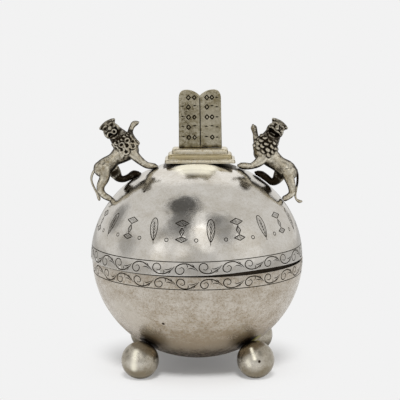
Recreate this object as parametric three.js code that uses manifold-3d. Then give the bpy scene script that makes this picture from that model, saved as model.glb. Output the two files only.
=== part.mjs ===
// Silver box for an etrog: a hammered ball in two halves, hinged at the back, on four ball feet.
// A stepped plinth with the two tablets of the law stands on the lid, between two rampant lions.
// Millimetres, +Z up, +X to the right of someone who faces the box, origin on the ground.
import * as THREE from "three";
import { mergeVertices } from "three/addons/utils/BufferGeometryUtils.js";
import Module from "manifold-3d";

// Driving dimensions
const SEAM_Z = 58; // height of the bowl's rim
const BOWL = { radius: 55, depth: 52.8 };
const LID = { radius: 55.2, height: 50.2 };
const WALL = 1; // thickness of the raised sheet
const GAP = 0.3; // left between pieces that touch
const RIM_GAP = 0.3; // left between the two rims on the closed side
const LID_SHIFT = 0.45; // the lid sits a little to the left
const LID_TILT = THREE.MathUtils.degToRad(0.35); // and is closed only on the left
const RIM_BEND = { lift: 0.8, at: THREE.MathUtils.degToRad(-54), reach: 14, sharpness: 18 };
const AROUND = 48; // facets round the ball

const COLLAR = { below: 5, above: 3.6, fit: 53.3, lip: 52.6, sheet: 0.8 };

const FOOT_RADIUS = 9.6;
const FOOT_WEAR = 0.15; // height worn off the ball by standing
// Each ball bites a little into the bowl: its distance from the axis, and its bearing from +X
const FEET = {
  foot_front_left: [40.7, -136],
  foot_front_right: [40.3, -42.5],
  foot_back_left: [40.3, 132.5],
  foot_back_right: [40.6, 39.5],
};

const PLINTH_X = 1.3; // the plinth sits right of the middle
const STEPS = {
  plinth_lower_step: { width: 36.4, depth: 18.5, bottom: 107.75, top: 110.15, round: 1.5 },
  plinth_middle_step: { width: 33.2, depth: 14.9, bottom: 110.15, top: 112.6, round: 1.7 },
  plinth_upper_step: { width: 29.2, depth: 11.2, bottom: 112.6, top: 115.3, round: 1.9 },
};

const TABLETS = {
  foot: 22.3,
  head: 21.8,
  thickness: 4,
  bottom: 115.3,
  top: 145.5,
  shoulder: 4.6,
  notch: 3.05,
  bevel: 0.5,
  lean: THREE.MathUtils.degToRad(0.7),
};

const HINGE = {
  y: 57.2,
  z: 58.2,
  half: 9, // half the width of the leaves
  knuckle: 3, // half the width of the lid's knuckle
  outer: 1.6,
  bore: 1,
  pin: 0.7,
  leaf: 8, // reach of each leaf from the axis
  proud: 1.9, // the leaves stand this far behind the axis
  stop: THREE.MathUtils.degToRad(50.3), // half the opening at which the leaves meet
};

// Joining and cutting closed shapes
const wasm = await Module();
wasm.setup();

function solid(geometry) {
  const bare = geometry.clone();
  bare.deleteAttribute("normal");
  bare.deleteAttribute("uv");
  const merged = mergeVertices(bare, 1e-4);
  const made = new wasm.Manifold(
    new wasm.Mesh({
      numProp: 3,
      vertProperties: merged.attributes.position.array,
      triVerts: new Uint32Array(merged.index.array),
    }),
  );
  return made;
}

function geometryOf(body) {
  const mesh = body.getMesh();
  const geometry = new THREE.BufferGeometry();
  geometry.setAttribute("position", new THREE.BufferAttribute(mesh.vertProperties.slice(), 3));
  geometry.setIndex(new THREE.BufferAttribute(mesh.triVerts.slice(), 1));
  return geometry;
}

const joined = (shapes) => shapes.map(solid).reduce((whole, next) => whole.add(next));

function piece(name, geometry, color, roughness) {
  const material = new THREE.MeshStandardMaterial({ color, roughness, metalness: 1 });
  geometry.computeVertexNormals();
  const mesh = new THREE.Mesh(geometry, material);
  mesh.name = name;
  return mesh;
}

// A profile of [radius, height] pairs turned about the upright axis
function turned(profile, around = AROUND) {
  const points = profile.map(([radius, height]) => new THREE.Vector2(radius, height));
  return new THREE.LatheGeometry(points, around).rotateX(Math.PI / 2);
}

// A quarter ellipse from the rim to the pole, or back again
function quarter(radius, height, steps) {
  return Array.from({ length: steps + 1 }, (_, i) => {
    const angle = (i / steps) * (Math.PI / 2);
    return [i === steps ? 0 : radius * Math.cos(angle), height * Math.sin(angle)];
  });
}

// Either half of the ball, its rim at height 0: a raised sheet of even thickness
function shell(radius, height) {
  const outside = quarter(radius, height, 12);
  const inside = quarter(radius - WALL, height - Math.sign(height) * WALL, 7);
  return height < 0
    ? turned([...outside.reverse(), ...inside])
    : turned([...inside.reverse(), ...outside]);
}

// The same half filled in and grown by the gap, to cut what sits against it
function seat(radius, height) {
  const grown = quarter(radius + GAP, height + Math.sign(height) * GAP, 12);
  return height < 0 ? turned([...grown.reverse(), [0, 0]]) : turned([[0, 0], ...grown]);
}

// The lid's rim is bent up at the front right, where the box is opened
function bendRim(geometry) {
  const place = geometry.getAttribute("position");
  for (let i = 0; i < place.count; i += 1) {
    const around = Math.atan2(place.getY(i), place.getX(i));
    const share = Math.max(0, 1 - place.getZ(i) / RIM_BEND.reach);
    const near = ((1 + Math.cos(around - RIM_BEND.at)) / 2) ** RIM_BEND.sharpness;
    place.setZ(i, place.getZ(i) + RIM_BEND.lift * near * share);
  }
  return geometry;
}

function onLid(thing) {
  const lift = RIM_GAP + LID.radius * Math.sin(LID_TILT);
  const turn = new THREE.Matrix4().makeRotationY(-LID_TILT);
  turn.setPosition(-LID_SHIFT, 0, SEAM_Z + lift);
  return thing.applyMatrix4(turn);
}

const bowlSeat = solid(seat(BOWL.radius, -BOWL.depth).translate(0, 0, SEAM_Z));
const lidSeat = solid(onLid(seat(LID.radius, LID.height)));

// Inner collar: a strip soldered inside the bowl, jogged in so that the lid passes over it
function collar() {
  const { below, above, fit, lip, sheet } = COLLAR;
  const low = fit - 0.3;
  return turned([
    [low, -below],
    [fit, -1],
    [lip, 0.6],
    [lip - 0.1, above],
    [lip - 0.1 - sheet, above],
    [lip - sheet, 0.3],
    [fit - sheet, -1.3],
    [low - sheet, -below],
    [low, -below],
  ]).translate(0, 0, SEAM_Z);
}

// Ball foot, worn flat where it stands and saddled to the bowl
function foot(reach, bearing) {
  const start = Math.acos(1 - FOOT_WEAR / FOOT_RADIUS);
  const rings = 9;
  const profile = [[0, 0]];
  for (let i = 0; i <= rings; i += 1) {
    const angle = start + ((Math.PI - start) * i) / rings;
    const height = FOOT_RADIUS * (1 - Math.cos(angle)) - FOOT_WEAR;
    profile.push([i === rings ? 0 : FOOT_RADIUS * Math.sin(angle), height]);
  }
  const ball = solid(turned(profile, 18).translate(reach, 0, 0));
  const turn = [0, 0, bearing];
  return geometryOf(ball.rotate(turn).subtract(bowlSeat));
}

// Rings of equal count skinned into one closed body
function skinned(rings) {
  const count = rings[0].length;
  const points = rings.flat();
  const faces = [];
  for (let ring = 0; ring + 1 < rings.length; ring += 1) {
    for (let i = 0; i < count; i += 1) {
      const a = ring * count + i;
      const b = ring * count + ((i + 1) % count);
      faces.push(a, b, b + count, a, b + count, a + count);
    }
  }
  const last = (rings.length - 1) * count;
  for (let i = 1; i + 1 < count; i += 1) {
    faces.push(0, i + 1, i, last, last + i, last + i + 1);
  }
  const geometry = new THREE.BufferGeometry().setFromPoints(points);
  geometry.setIndex(faces);
  return geometry;
}

// Plinth step: a cast plate with a quarter round along its upper edges
function step({ width, depth, bottom, top, round }) {
  const outline = (inset, z) =>
    [[-1, -1], [1, -1], [1, 1], [-1, 1]].map(
      ([x, y]) => new THREE.Vector3(x * (width / 2 - inset), y * (depth / 2 - inset), z),
    );
  const rings = [outline(0, bottom + GAP)];
  for (let i = 0; i <= 4; i += 1) {
    const angle = (i / 4) * (Math.PI / 2);
    rings.push(outline(round * (1 - Math.cos(angle)), top - round * (1 - Math.sin(angle))));
  }
  return skinned(rings).translate(PLINTH_X, 0, 0);
}

// The two tablets: one casting with two round heads, parted by a groove on the front
function tablets() {
  const { foot: wide, head, thickness, bottom, top, shoulder, notch, bevel, lean } = TABLETS;
  const height = top - bottom - GAP - bevel;
  const outline = new THREE.Shape();
  const w = head / 2 - bevel;
  outline.moveTo(-wide / 2 + bevel, bevel);
  outline.lineTo(wide / 2 - bevel, bevel);
  outline.lineTo(w, height - shoulder);
  outline.quadraticCurveTo(w, height, w - 3.9, height);
  outline.quadraticCurveTo(notch, height, 0, height - notch);
  outline.quadraticCurveTo(-notch, height, -w + 3.9, height);
  outline.quadraticCurveTo(-w, height, -w, height - shoulder);
  outline.closePath();
  const plate = new THREE.ExtrudeGeometry(outline, {
    depth: thickness - 2 * bevel,
    bevelThickness: bevel,
    bevelSize: bevel,
    bevelSegments: 2,
    curveSegments: 7,
  });
  plate.translate(0, 0, bevel - thickness / 2).rotateX(Math.PI / 2);
  const groove = new THREE.CylinderGeometry(0.45, 0.45, height, 4).rotateX(Math.PI / 2);
  groove.translate(0, -thickness / 2, height / 2 - 0.6);
  const parted = geometryOf(solid(plate).subtract(solid(groove)));
  return parted.rotateY(-lean).translate(PLINTH_X + 0.2, 0, bottom + GAP + 0.14);
}

// A cast limb: a smooth run of oval sections with round ends.
// Each knot is [outward, back, up, half height, half width]; side is 1 on the right, -1 on the left.
function limb(side, knots, { sides = 6, steps = 2, caps = [0.9] } = {}) {
  const path = knots.map(([out, back, up]) => new THREE.Vector3(side * out, back, up));
  const girth = knots.map(([, , , tall, wide = tall]) => new THREE.Vector3(tall, wide, 0));
  const line = new THREE.CatmullRomCurve3(path);
  const size = new THREE.CatmullRomCurve3(girth);
  const count = steps * (knots.length - 1);
  const rings = [];
  const section = (at, cap) => {
    const along = line.getTangent(at);
    const { x: tall, y: wide } = size.getPoint(at);
    const across = new THREE.Vector3(0, 1, 0);
    if (Math.abs(along.y) > 0.9) across.set(1, 0, 0);
    across.addScaledVector(along, -across.dot(along)).normalize();
    const upward = new THREE.Vector3().crossVectors(along, across);
    const middle = line.getPoint(at).addScaledVector(along, Math.sin(cap) * Math.min(tall, wide));
    return Array.from({ length: sides }, (_, i) => {
      const angle = (i / sides) * 2 * Math.PI;
      return middle
        .clone()
        .addScaledVector(across, wide * Math.cos(cap) * Math.cos(angle))
        .addScaledVector(upward, tall * Math.cos(cap) * Math.sin(angle));
    });
  };
  for (const cap of caps.toReversed()) rings.push(section(0, -cap));
  for (let i = 0; i <= count; i += 1) rings.push(section(i / count, 0));
  for (const cap of caps) rings.push(section(1, cap));
  return skinned(rings);
}

// A lion's head, turned to the viewer with its crown cocked outward and its mouth open
const HEAD_COCK = THREE.MathUtils.degToRad(34);

function head(side, [outward, back, up]) {
  const knot = (across, rise, forward, tall, wide = tall) => [
    outward + across * Math.cos(HEAD_COCK) + rise * Math.sin(HEAD_COCK) - forward * 0.12,
    back - forward,
    up - across * Math.sin(HEAD_COCK) + rise * Math.cos(HEAD_COCK) - forward * 0.12,
    tall,
    wide,
  ];
  const small = { sides: 5, steps: 1 };
  const round = { sides: 8, steps: 1, caps: [0.6, 1.2] };
  const shapes = [
    limb(side, [knot(0, -0.4, -1.4, 3.6, 3.9), knot(0, 0.4, 1.6, 3.5, 3.9)], round),
    limb(side, [knot(-3.1, 2.3, -0.6, 1.6, 1.8), knot(3.1, 2.3, -0.6, 1.6, 1.8)], small),
    limb(side, [knot(0, -0.2, 2.6, 1.7, 2.3), knot(0, -0.6, 4.3, 1.1, 1.6)], round),
    limb(side, [knot(0, -3.3, 0.8, 1.6, 2), knot(0, -4.2, 3, 0.8, 1.3)], round),
  ];
  for (const way of [-1, 1]) {
    shapes.push(limb(side, [knot(way * 3.4, 2.4, 0, 1.5), knot(way * 4.3, 3, 0.2, 0.9)], small));
    shapes.push(limb(side, [knot(way * 0.9, 1.6, 4.5, 0.6), knot(way * 2.6, 1.8, 3.8, 0.6)], small));
    shapes.push(limb(side, [knot(way * 3.2, -1, 1.6, 1.4), knot(way * 2.8, -3, 0.8, 1)], small));
  }
  return shapes;
}

// Mane: rows of hanging locks round the neck and chest, each row set half a lock on
function mane(side, rows) {
  const locks = 8;
  const shapes = [];
  rows.forEach(([out, back, up, tall, wide, lean], row) => {
    for (let i = 0; i < locks; i += 1) {
      const angle = ((i + (row % 2) / 2) / locks) * 2 * Math.PI;
      const at = (reach, drop) => [
        out + Math.cos(angle) * tall * reach * Math.cos(lean) - drop * Math.sin(lean),
        back + Math.sin(angle) * wide * reach,
        up - Math.cos(angle) * tall * reach * Math.sin(lean) - drop * Math.cos(lean),
      ];
      const fat = 1.25 + 0.1 * row;
      const lock = [[...at(0.86, -1.4), fat * 0.6], [...at(1, 0.4), fat], [...at(1.08, 1.7), fat * 0.5]];
      shapes.push(limb(side, lock, { sides: 5, steps: 1 }));
    }
  });
  return shapes;
}

// Both lions come from one pattern and were bent a little by hand as they were soldered on
const LION_RIGHT = {
  trunk: [
    [34.2, 0, 113.6, 5.6, 4.5], [38.2, 0, 109.8, 4.7, 4], [42, 0, 106.7, 4, 3.5],
    [46, 0, 103.9, 4.6, 3.9], [48, 0, 102.2, 4, 3.8],
  ],
  neck: [[34.4, 0, 114.2, 5.8, 4.6], [37.2, -0.2, 118.8, 4.9, 4.2], [39.6, -0.4, 123, 4, 3.8]],
  planted: [
    [34.2, -2, 110.4, 3, 2.2], [31, -2.4, 107.4, 2.1], [27.8, -2.6, 105.9, 1.5],
    [24.8, -2.6, 105.9, 1.7], [22.7, -2.6, 106.1, 1.5],
  ],
  raised: [
    [32.4, 1, 115.4, 2.6, 2.4], [30.6, 1.3, 119, 1.6], [30, 1.3, 122.2, 1.2],
    [29.4, 1, 124.6, 1.4], [29.2, 0.8, 125.3, 1.5],
  ],
  nearHind: [
    [46.9, -2.2, 103.6, 3.8, 2.2], [47.4, -2.7, 100, 2.6, 2.2], [48.6, -3, 96.3, 2],
    [49.1, -3, 93.2, 1.7], [48.6, -3, 91.2, 1.5], [47, -3, 89.9, 1.4], [45.4, -2.8, 89, 1.4],
  ],
  farHind: [
    [44.6, 2.4, 104.6, 3.2, 2.2], [42.9, 2.9, 100.6, 2.8, 2.2], [41, 3, 97.6, 2.1],
    [38.6, 3, 96.9, 1.7], [35.7, 3, 99, 1.8], [33.4, 3, 100.6, 1.8], [31.6, 3, 101.3, 1.4],
  ],
  mane: [
    [34.6, -0.2, 113.2, 5.6, 4.4, 0.6],
    [35.6, -0.2, 116.2, 5.3, 4.3, 0.55],
    [37.2, -0.3, 119.4, 4.5, 4, 0.5],
  ],
  head: [40.9, -1.2, 125.4],
  tail: [
    [51.2, 0.4, 103.4, 0.9], [52, 0.6, 100.6, 0.7], [52, 0.6, 97, 0.65], [51.4, 0.6, 93, 0.6],
    [51, 0.4, 89.8, 0.6], [51.6, 0.2, 88, 0.6], [53, 0, 87, 0.9], [54.2, 0, 87, 0.6],
  ],
};

const LION_LEFT = {
  trunk: [
    [35.9, 0, 115.2, 6.3, 4.6], [39.6, 0, 111.9, 4.7, 4], [43.4, 0, 109, 3.4, 3.4],
    [47.2, 0, 106.2, 4, 3.7], [49.9, 0, 103.9, 4.2, 3.8],
  ],
  neck: [[35.8, 0, 115.6, 5.6, 4.6], [39.8, -0.2, 119.6, 4.9, 4.2], [43, -0.4, 123, 4, 3.8]],
  planted: [
    [34.6, -2, 113.6, 3, 2.4], [33, -2.3, 111.9, 2.5, 2.2], [29.9, -2.6, 108.9, 1.9],
    [26.5, -2.7, 106.5, 1.6], [24.1, -2.7, 106, 1.5], [22.4, -2.7, 105.9, 1.3],
  ],
  raised: [
    [33.6, 1, 116.8, 2.6, 2.4], [34.6, 1.2, 120.6, 1.8], [34.9, 1.2, 123, 1.3],
    [34.1, 1, 125.6, 1.15], [32.9, 0.9, 127.4, 1.35], [31.7, 0.8, 127.9, 1.1],
  ],
  nearHind: [
    [48.4, -2.2, 105.6, 3.4, 2.3], [48.1, -2.6, 102.9, 2.9, 2.2], [48.3, -2.8, 99.5, 2.5, 2.1],
    [50, -3, 96, 2], [50.2, -3, 93.2, 1.8], [48.8, -3, 90.9, 1.6], [47, -3, 89.7, 1.5],
    [45.5, -2.9, 88.9, 1.3],
  ],
  farHind: [
    [45.4, 2.4, 105, 3.2, 2.2], [43.1, 2.8, 101.8, 2.4, 2.2], [41.1, 3, 98.9, 1.9],
    [38.7, 3, 98.3, 1.6], [35.9, 3, 99.3, 1.6], [33.3, 3, 100.9, 1.8], [31.4, 3, 101.1, 1.4],
  ],
  mane: [
    [35.8, -0.2, 114.6, 5.5, 4.4, 0.7],
    [37.6, -0.2, 117.2, 5.2, 4.3, 0.65],
    [40, -0.3, 119.8, 4.6, 4, 0.6],
  ],
  head: [45, -1.2, 125.2],
  tail: [
    [52.4, 0.6, 104.6, 0.9], [54.4, 1.2, 101.8, 0.75], [55.3, 1.6, 99, 0.65],
    [54.9, 1.6, 96.4, 0.6], [53.4, 1.4, 93, 0.6], [52.2, 1.2, 90.6, 0.7],
    [51.5, 1, 88.8, 0.95], [51.3, 1, 87.8, 0.7],
  ],
};

function lion(side, pose) {
  const shapes = [
    limb(side, pose.trunk, { sides: 9 }),
    limb(side, pose.neck, { sides: 9 }),
    limb(side, pose.planted),
    limb(side, pose.raised),
    limb(side, pose.nearHind),
    limb(side, pose.farHind),
    ...head(side, pose.head),
    ...mane(side, pose.mane),
  ];
  return geometryOf(joined(shapes).subtract(lidSeat));
}

// The tails are drawn wire, butted against the rump and ending in a tuft
function tail(side, pose) {
  const wire = solid(limb(side, pose.tail, { sides: 5 }));
  const grown = (knots, sides) => {
    const more = GAP / Math.cos(Math.PI / sides); // moves the flats of the section out by the gap
    const fatter = knots.map(([out, back, up, tall, wide = tall]) => {
      return [out, back, up, tall + more, wide + more];
    });
    return solid(limb(side, fatter, { sides }));
  };
  const rump = grown(pose.trunk, 9).add(grown(pose.nearHind, 6)).add(grown(pose.farHind, 6));
  return geometryOf(wire.subtract(rump));
}

// Hinge: a leaf on each half, three knuckles and a pin
function rod(radius, from, to) {
  const bar = new THREE.CylinderGeometry(radius, radius, to - from, 16);
  return bar.rotateZ(Math.PI / 2).translate((from + to) / 2, HINGE.y, HINGE.z);
}

// A leaf's end view, up from the axis: its slanted face meets the other leaf when the lid is open
function leafBlock(up) {
  const { half, leaf, proud, stop } = HINGE;
  const face = proud * Math.tan(stop);
  const outline = new THREE.Shape();
  outline.moveTo(-5, 0.55 * up);
  outline.lineTo(0, 0.55 * up);
  outline.lineTo(0, 0);
  outline.lineTo(proud, face * up);
  outline.lineTo(proud, (leaf - 2.5) * up);
  outline.quadraticCurveTo(proud, leaf * up, proud - 2.5, leaf * up);
  outline.lineTo(-5, leaf * up);
  const block = new THREE.ExtrudeGeometry(outline, {
    depth: 2 * half,
    bevelEnabled: false,
    curveSegments: 4,
  });
  block.translate(0, 0, -half);
  // the outline's x runs backward and its y runs up, so the block turns to lie along x
  const turn = new THREE.Matrix4().set(0, 0, 1, 0, 1, 0, 0, HINGE.y, 0, 1, 0, HINGE.z, 0, 0, 0, 1);
  return block.applyMatrix4(turn);
}

// The same leaf seen from behind: its far corners are round
function leafPlate(up) {
  const { half, leaf: reach } = HINGE;
  const corner = 4;
  const outline = new THREE.Shape();
  outline.moveTo(-half, -2 * up);
  outline.lineTo(half, -2 * up);
  outline.lineTo(half, (reach - corner) * up);
  outline.quadraticCurveTo(half, reach * up, half - corner, reach * up);
  outline.lineTo(-half + corner, reach * up);
  outline.quadraticCurveTo(-half, reach * up, -half, (reach - corner) * up);
  const plate = new THREE.ExtrudeGeometry(outline, {
    depth: 20,
    bevelEnabled: false,
    curveSegments: 5,
  });
  return plate.rotateX(Math.PI / 2).translate(0, HINGE.y + 10, HINGE.z);
}

function leaf(up, tubes, slots, against) {
  const cuts = [rod(HINGE.bore, -20, 20), ...slots.map(([a, b]) => rod(HINGE.outer + GAP, a, b))];
  let body = solid(leafBlock(up)).intersect(solid(leafPlate(up))).subtract(against);
  for (const [from, to] of tubes) body = body.add(solid(rod(HINGE.outer, from, to)));
  for (const cut of cuts) body = body.subtract(solid(cut));
  return geometryOf(body);
}

function hingePin() {
  const end = HINGE.half + GAP;
  const profile = [
    [0, -end - 0.6], [1.2, -end - 0.4], [1.2, -end], [HINGE.pin, -end],
    [HINGE.pin, end], [1.2, end], [1.2, end + 0.4], [0, end + 0.6],
  ];
  return turned(profile, 16).rotateY(Math.PI / 2).translate(0, HINGE.y, HINGE.z);
}

const { half, knuckle } = HINGE;
const centre = [[-knuckle, knuckle]];
const sides = [[-half, -knuckle - GAP], [knuckle + GAP, half]];
const room = [[-knuckle - GAP, knuckle + GAP]];
const flanks = [[-half - 1, -knuckle], [knuckle, half + 1]];

// The box, with the axis of the ball moved forward so that the origin is under its middle
const etrogBox = new THREE.Group();
etrogBox.position.y = (BOWL.radius - HINGE.y - HINGE.proud) / 2;

const base = new THREE.Group();
base.add(piece("bowl", shell(BOWL.radius, -BOWL.depth).translate(0, 0, SEAM_Z), 0xbfbab2, 0.32));
base.add(piece("bowl_collar", collar(), 0x8d867c, 0.4));
for (const [name, [reach, bearing]] of Object.entries(FEET)) {
  base.add(piece(name, foot(reach, bearing), 0xc2beb7, 0.28));
}
base.add(piece("hinge_bowl_leaf", leaf(-1, sides, room, bowlSeat), 0xaea79c, 0.36));
base.add(piece("hinge_pin", hingePin(), 0xa8a196, 0.34));

const top = new THREE.Group();
top.add(piece("lid", onLid(bendRim(shell(LID.radius, LID.height))), 0xc4bfb7, 0.3));
top.add(piece("hinge_lid_leaf", leaf(1, centre, flanks, lidSeat), 0xaea79c, 0.36));
for (const [name, size] of Object.entries(STEPS)) {
  const cut = solid(step(size)).subtract(lidSeat);
  top.add(piece(name, geometryOf(cut), 0xbcb5a8, 0.34));
}
top.add(piece("tablets", tablets(), 0x9d968a, 0.42));
top.add(piece("lion_left", lion(-1, LION_LEFT), 0xa69d8e, 0.38));
top.add(piece("lion_right", lion(1, LION_RIGHT), 0xa69d8e, 0.38));
top.add(piece("lion_left_tail", tail(-1, LION_LEFT), 0x958c7e, 0.4));
top.add(piece("lion_right_tail", tail(1, LION_RIGHT), 0x958c7e, 0.4));

etrogBox.add(base, top);
export default etrogBox;
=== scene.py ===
# %% [markdown]
# # A silver etrog box, dressed in Blender
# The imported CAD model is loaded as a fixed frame. Every visible piece of the box then gets its
# finished shape and its silver here: the raised ball with its engraved bands, the cast lions,
# the tablets on their plinth and the ball feet. All new shapes are worked out in millimetres,
# as a silversmith would give them, and become metres when a piece is finished.

import math
import random

import bmesh
import bpy
import numpy as np
from mathutils import Matrix, Vector
from mathutils.geometry import delaunay_2d_cdt


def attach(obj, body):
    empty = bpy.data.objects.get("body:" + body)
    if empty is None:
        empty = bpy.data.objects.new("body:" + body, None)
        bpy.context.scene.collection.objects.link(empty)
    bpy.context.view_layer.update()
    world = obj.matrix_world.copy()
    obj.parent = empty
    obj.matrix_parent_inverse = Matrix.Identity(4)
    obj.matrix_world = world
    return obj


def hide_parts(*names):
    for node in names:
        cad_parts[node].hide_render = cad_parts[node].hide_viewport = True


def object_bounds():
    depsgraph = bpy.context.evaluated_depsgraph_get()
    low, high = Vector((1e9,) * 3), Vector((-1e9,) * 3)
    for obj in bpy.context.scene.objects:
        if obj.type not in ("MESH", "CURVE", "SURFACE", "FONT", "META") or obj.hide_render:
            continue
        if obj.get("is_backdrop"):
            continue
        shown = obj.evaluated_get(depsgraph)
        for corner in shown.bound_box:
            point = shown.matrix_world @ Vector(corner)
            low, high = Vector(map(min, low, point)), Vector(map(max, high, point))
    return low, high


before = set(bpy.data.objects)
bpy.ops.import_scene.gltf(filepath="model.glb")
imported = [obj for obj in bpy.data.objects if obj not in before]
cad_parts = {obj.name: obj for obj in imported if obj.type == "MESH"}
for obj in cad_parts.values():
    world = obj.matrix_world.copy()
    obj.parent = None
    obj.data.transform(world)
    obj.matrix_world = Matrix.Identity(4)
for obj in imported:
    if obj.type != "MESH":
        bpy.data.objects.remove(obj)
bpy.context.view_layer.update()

# %% [markdown]
# ## Sizes that come from the CAD source
# The ball is two half ellipsoids with their rims near the seam. The CAD group stands a little
# forward, so that the origin is under the middle of the box with its hinge.

# %% Sizes in millimetres
MM = 0.001
AXIS_Y = -2.05  # where the ball's axis stands in the CAD frame
SEAM_Z = 58
WALL = 1
BOWL = {"radius": 55, "height": -52.8}
LID = {"radius": 55.2, "height": 50.2}
LID_TILT = math.radians(0.35)
LID_SHIFT = 0.45
RIM_GAP = 0.3
LID_Z = SEAM_Z + RIM_GAP + LID["radius"] * math.sin(LID_TILT)  # the middle of its rim
RIM_BEND = {"lift": 1.25, "at": math.radians(-54), "reach": 14, "sharpness": 18}
PLINTH_X = 1.3
FOOT_RADIUS = 9.6
FOOT_WEAR = 0.15
FEET = {  # how far from the axis, and at which bearing in degrees
    "foot_front_left": (40.7, -136),
    "foot_front_right": (40.3, -42.5),
    "foot_back_left": (40.3, 132.5),
    "foot_back_right": (40.6, 39.5),
}
print("the lid's rim stands", round(LID_Z, 2), "mm above the ground")

# %% [markdown]
# ## The camera
# The picture was taken from a little above the lid, from about three quarters of a metre.
# A long lens keeps the ball round. The values were fitted to the feet, the seam and the plinth.


# %% Camera
def put(name, data):
    """A new object in the scene, at the origin until something moves it."""
    made = bpy.data.objects.new(name, data)
    bpy.context.scene.collection.objects.link(made)
    return made


camera = put("camera", bpy.data.cameras.new("camera"))
camera.location = (0.0013, -0.76595, 0.2072)
camera.rotation_euler = (math.radians(90 - 8.89), 0, 0)
camera.data.lens = 133.5
camera.data.clip_start = 0.01
bpy.context.scene.camera = camera
bpy.context.scene.view_settings.view_transform = "Standard"
print("camera", tuple(round(v, 3) for v in camera.location))

# %% [markdown]
# ## Helpers for materials
# Colours are written as sRGB hex values, as in a paint program, and turned to linear values once.
# One small function adds a node, sets its values and links what feeds it. Where a value is itself
# a node, its first output is linked.


# %% Colour and node helpers
def linear(hex_code):
    parts = [int(hex_code[i : i + 2], 16) / 255 for i in (1, 3, 5)]
    curve = [p / 12.92 if p <= 0.04045 else ((p + 0.055) / 1.055) ** 2.4 for p in parts]
    return (*curve, 1)


def add(tree, kind, inputs=None, **settings):
    made = tree.nodes.new("ShaderNode" + kind)
    for key, value in settings.items():
        setattr(made, key, value)
    for key, value in (inputs or {}).items():
        if isinstance(value, bpy.types.Node):
            value = value.outputs[0]
        if isinstance(value, bpy.types.NodeSocket):
            tree.links.new(value, made.inputs[key])
        else:
            made.inputs[key].default_value = value
    return made


def blank(owner):
    """A new material or world with an empty node tree."""
    owner.use_nodes = True
    owner.node_tree.nodes.clear()
    return owner, owner.node_tree


# A Mix node's sockets are counted over all its data types.
FIRST_VALUE, SECOND_VALUE = 2, 3
FIRST_COLOUR, SECOND_COLOUR, MIXED_COLOUR = 6, 7, 2
SOFT = {"interpolation_type": "SMOOTHSTEP"}
print("#808080 is", round(linear("#808080")[0], 3), "in linear light")

# %% [markdown]
# ## Floor and studio
# The box stands on a plain white sheet that fades into the pale air behind it, so no edge shows.
# Silver is mostly a picture of the room, so the room matters: a pale tent round the box, with a
# soft window on the left, a narrow strip beside the camera, dark shapes over it, and dimmer air
# beyond the sheet. The tent is a large ball that only reflections see. One large soft lamp from
# above the camera lays the short shadow under the box, and two weak ones at the sides widen it.


# %% Floor
FLOOR = {"radius": 0.31, "plain": 0.025, "faded": 0.074}  # metres from the middle of the box
WIDER = {"plain": 0.025, "faded": 0.051}  # further out still for reflections
LEAST_GLOW = 0.15  # the sheet's share of the air's colour right under the box
AIR = "#f2f2f2"


def mesh_object(name, bm, materials):
    """An object with the bmesh's faces and these materials; the bmesh itself is freed."""
    mesh = bpy.data.meshes.new(name)
    bm.to_mesh(mesh)
    bm.free()
    for material in materials:
        mesh.materials.append(material)
    return put(name, mesh)


def straight_look(tree):
    """1 for rays that come from the camera, from a reflection or through glass, otherwise 0."""
    path = add(tree, "LightPath").outputs
    seen = {0: path["Is Camera Ray"], 1: path["Is Glossy Ray"]}
    seen = add(tree, "Math", seen, operation="MAXIMUM")
    return add(tree, "Math", {0: seen, 1: path["Is Transmission Ray"]}, operation="MAXIMUM")


def floor_material():
    material, tree = blank(bpy.data.materials.new("white_sheet"))
    place = add(tree, "TexCoord").outputs["Object"]
    away = add(tree, "VectorMath", {0: place}, operation="LENGTH").outputs["Value"]
    mirrored = add(tree, "LightPath").outputs["Is Glossy Ray"]
    edges = []
    for key in ("plain", "faded"):
        edge = {0: mirrored, 1: WIDER[key], 2: FLOOR[key]}
        edges.append(add(tree, "Math", edge, operation="MULTIPLY_ADD"))
    fade = {0: away, 1: edges[0], 2: edges[1], 3: LEAST_GLOW, 4: 1}
    fade = add(tree, "MapRange", fade, **SOFT)
    share = add(tree, "Math", {0: straight_look(tree), 1: fade}, operation="MULTIPLY")
    paper = add(tree, "BsdfDiffuse", {"Color": linear("#f1f1f1")})
    glow = add(tree, "Emission", {"Color": linear(AIR), "Strength": 1.0})
    mixed = add(tree, "MixShader", {0: share, 1: paper, 2: glow})
    add(tree, "OutputMaterial", {"Surface": mixed})
    return material


bm = bmesh.new()
bmesh.ops.create_circle(bm, cap_ends=True, segments=96, radius=FLOOR["radius"])
floor = mesh_object("floor", bm, [floor_material()])
floor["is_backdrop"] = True
print("floor", FLOOR["radius"], "m")

# %% World and lamps
world, tree = blank(bpy.data.worlds.new("studio_air"))
bpy.context.scene.world = world
air = add(tree, "Background", {"Color": (1, 1, 1, 1), "Strength": 0.5})
pale = add(tree, "Background", {"Color": linear(AIR), "Strength": 1.0})
mixed = add(tree, "MixShader", {0: straight_look(tree), 1: air, 2: pale})
add(tree, "OutputWorld", {"Surface": mixed})
LAMPS = [
    # name, strength, then spread, azimuth and elevation in degrees
    ("soft_key", 2.2, 16, 0, 53),
    ("left_fill", 0.1, 30, -60, 35),
    ("right_fill", 0.06, 30, 60, 35),
]
for name, strength, spread, azimuth, elevation in LAMPS:
    lamp = put(name, bpy.data.lights.new(name, "SUN"))
    lamp.data.energy = strength
    lamp.data.angle = math.radians(spread)
    lamp.rotation_euler = (math.radians(90 - elevation), 0, math.radians(azimuth))
    lamp.visible_glossy = False  # the tent holds all that the metal mirrors
print("lamps", len(LAMPS))

# %% [markdown]
# Each soft box or dark card of the tent is a patch of sky: a direction, a half width in degrees,
# how soft its edge is, and how bright it is. The dark shapes are the camera, its stand and the dim
# room behind them. A later patch covers the ones before it.

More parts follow.
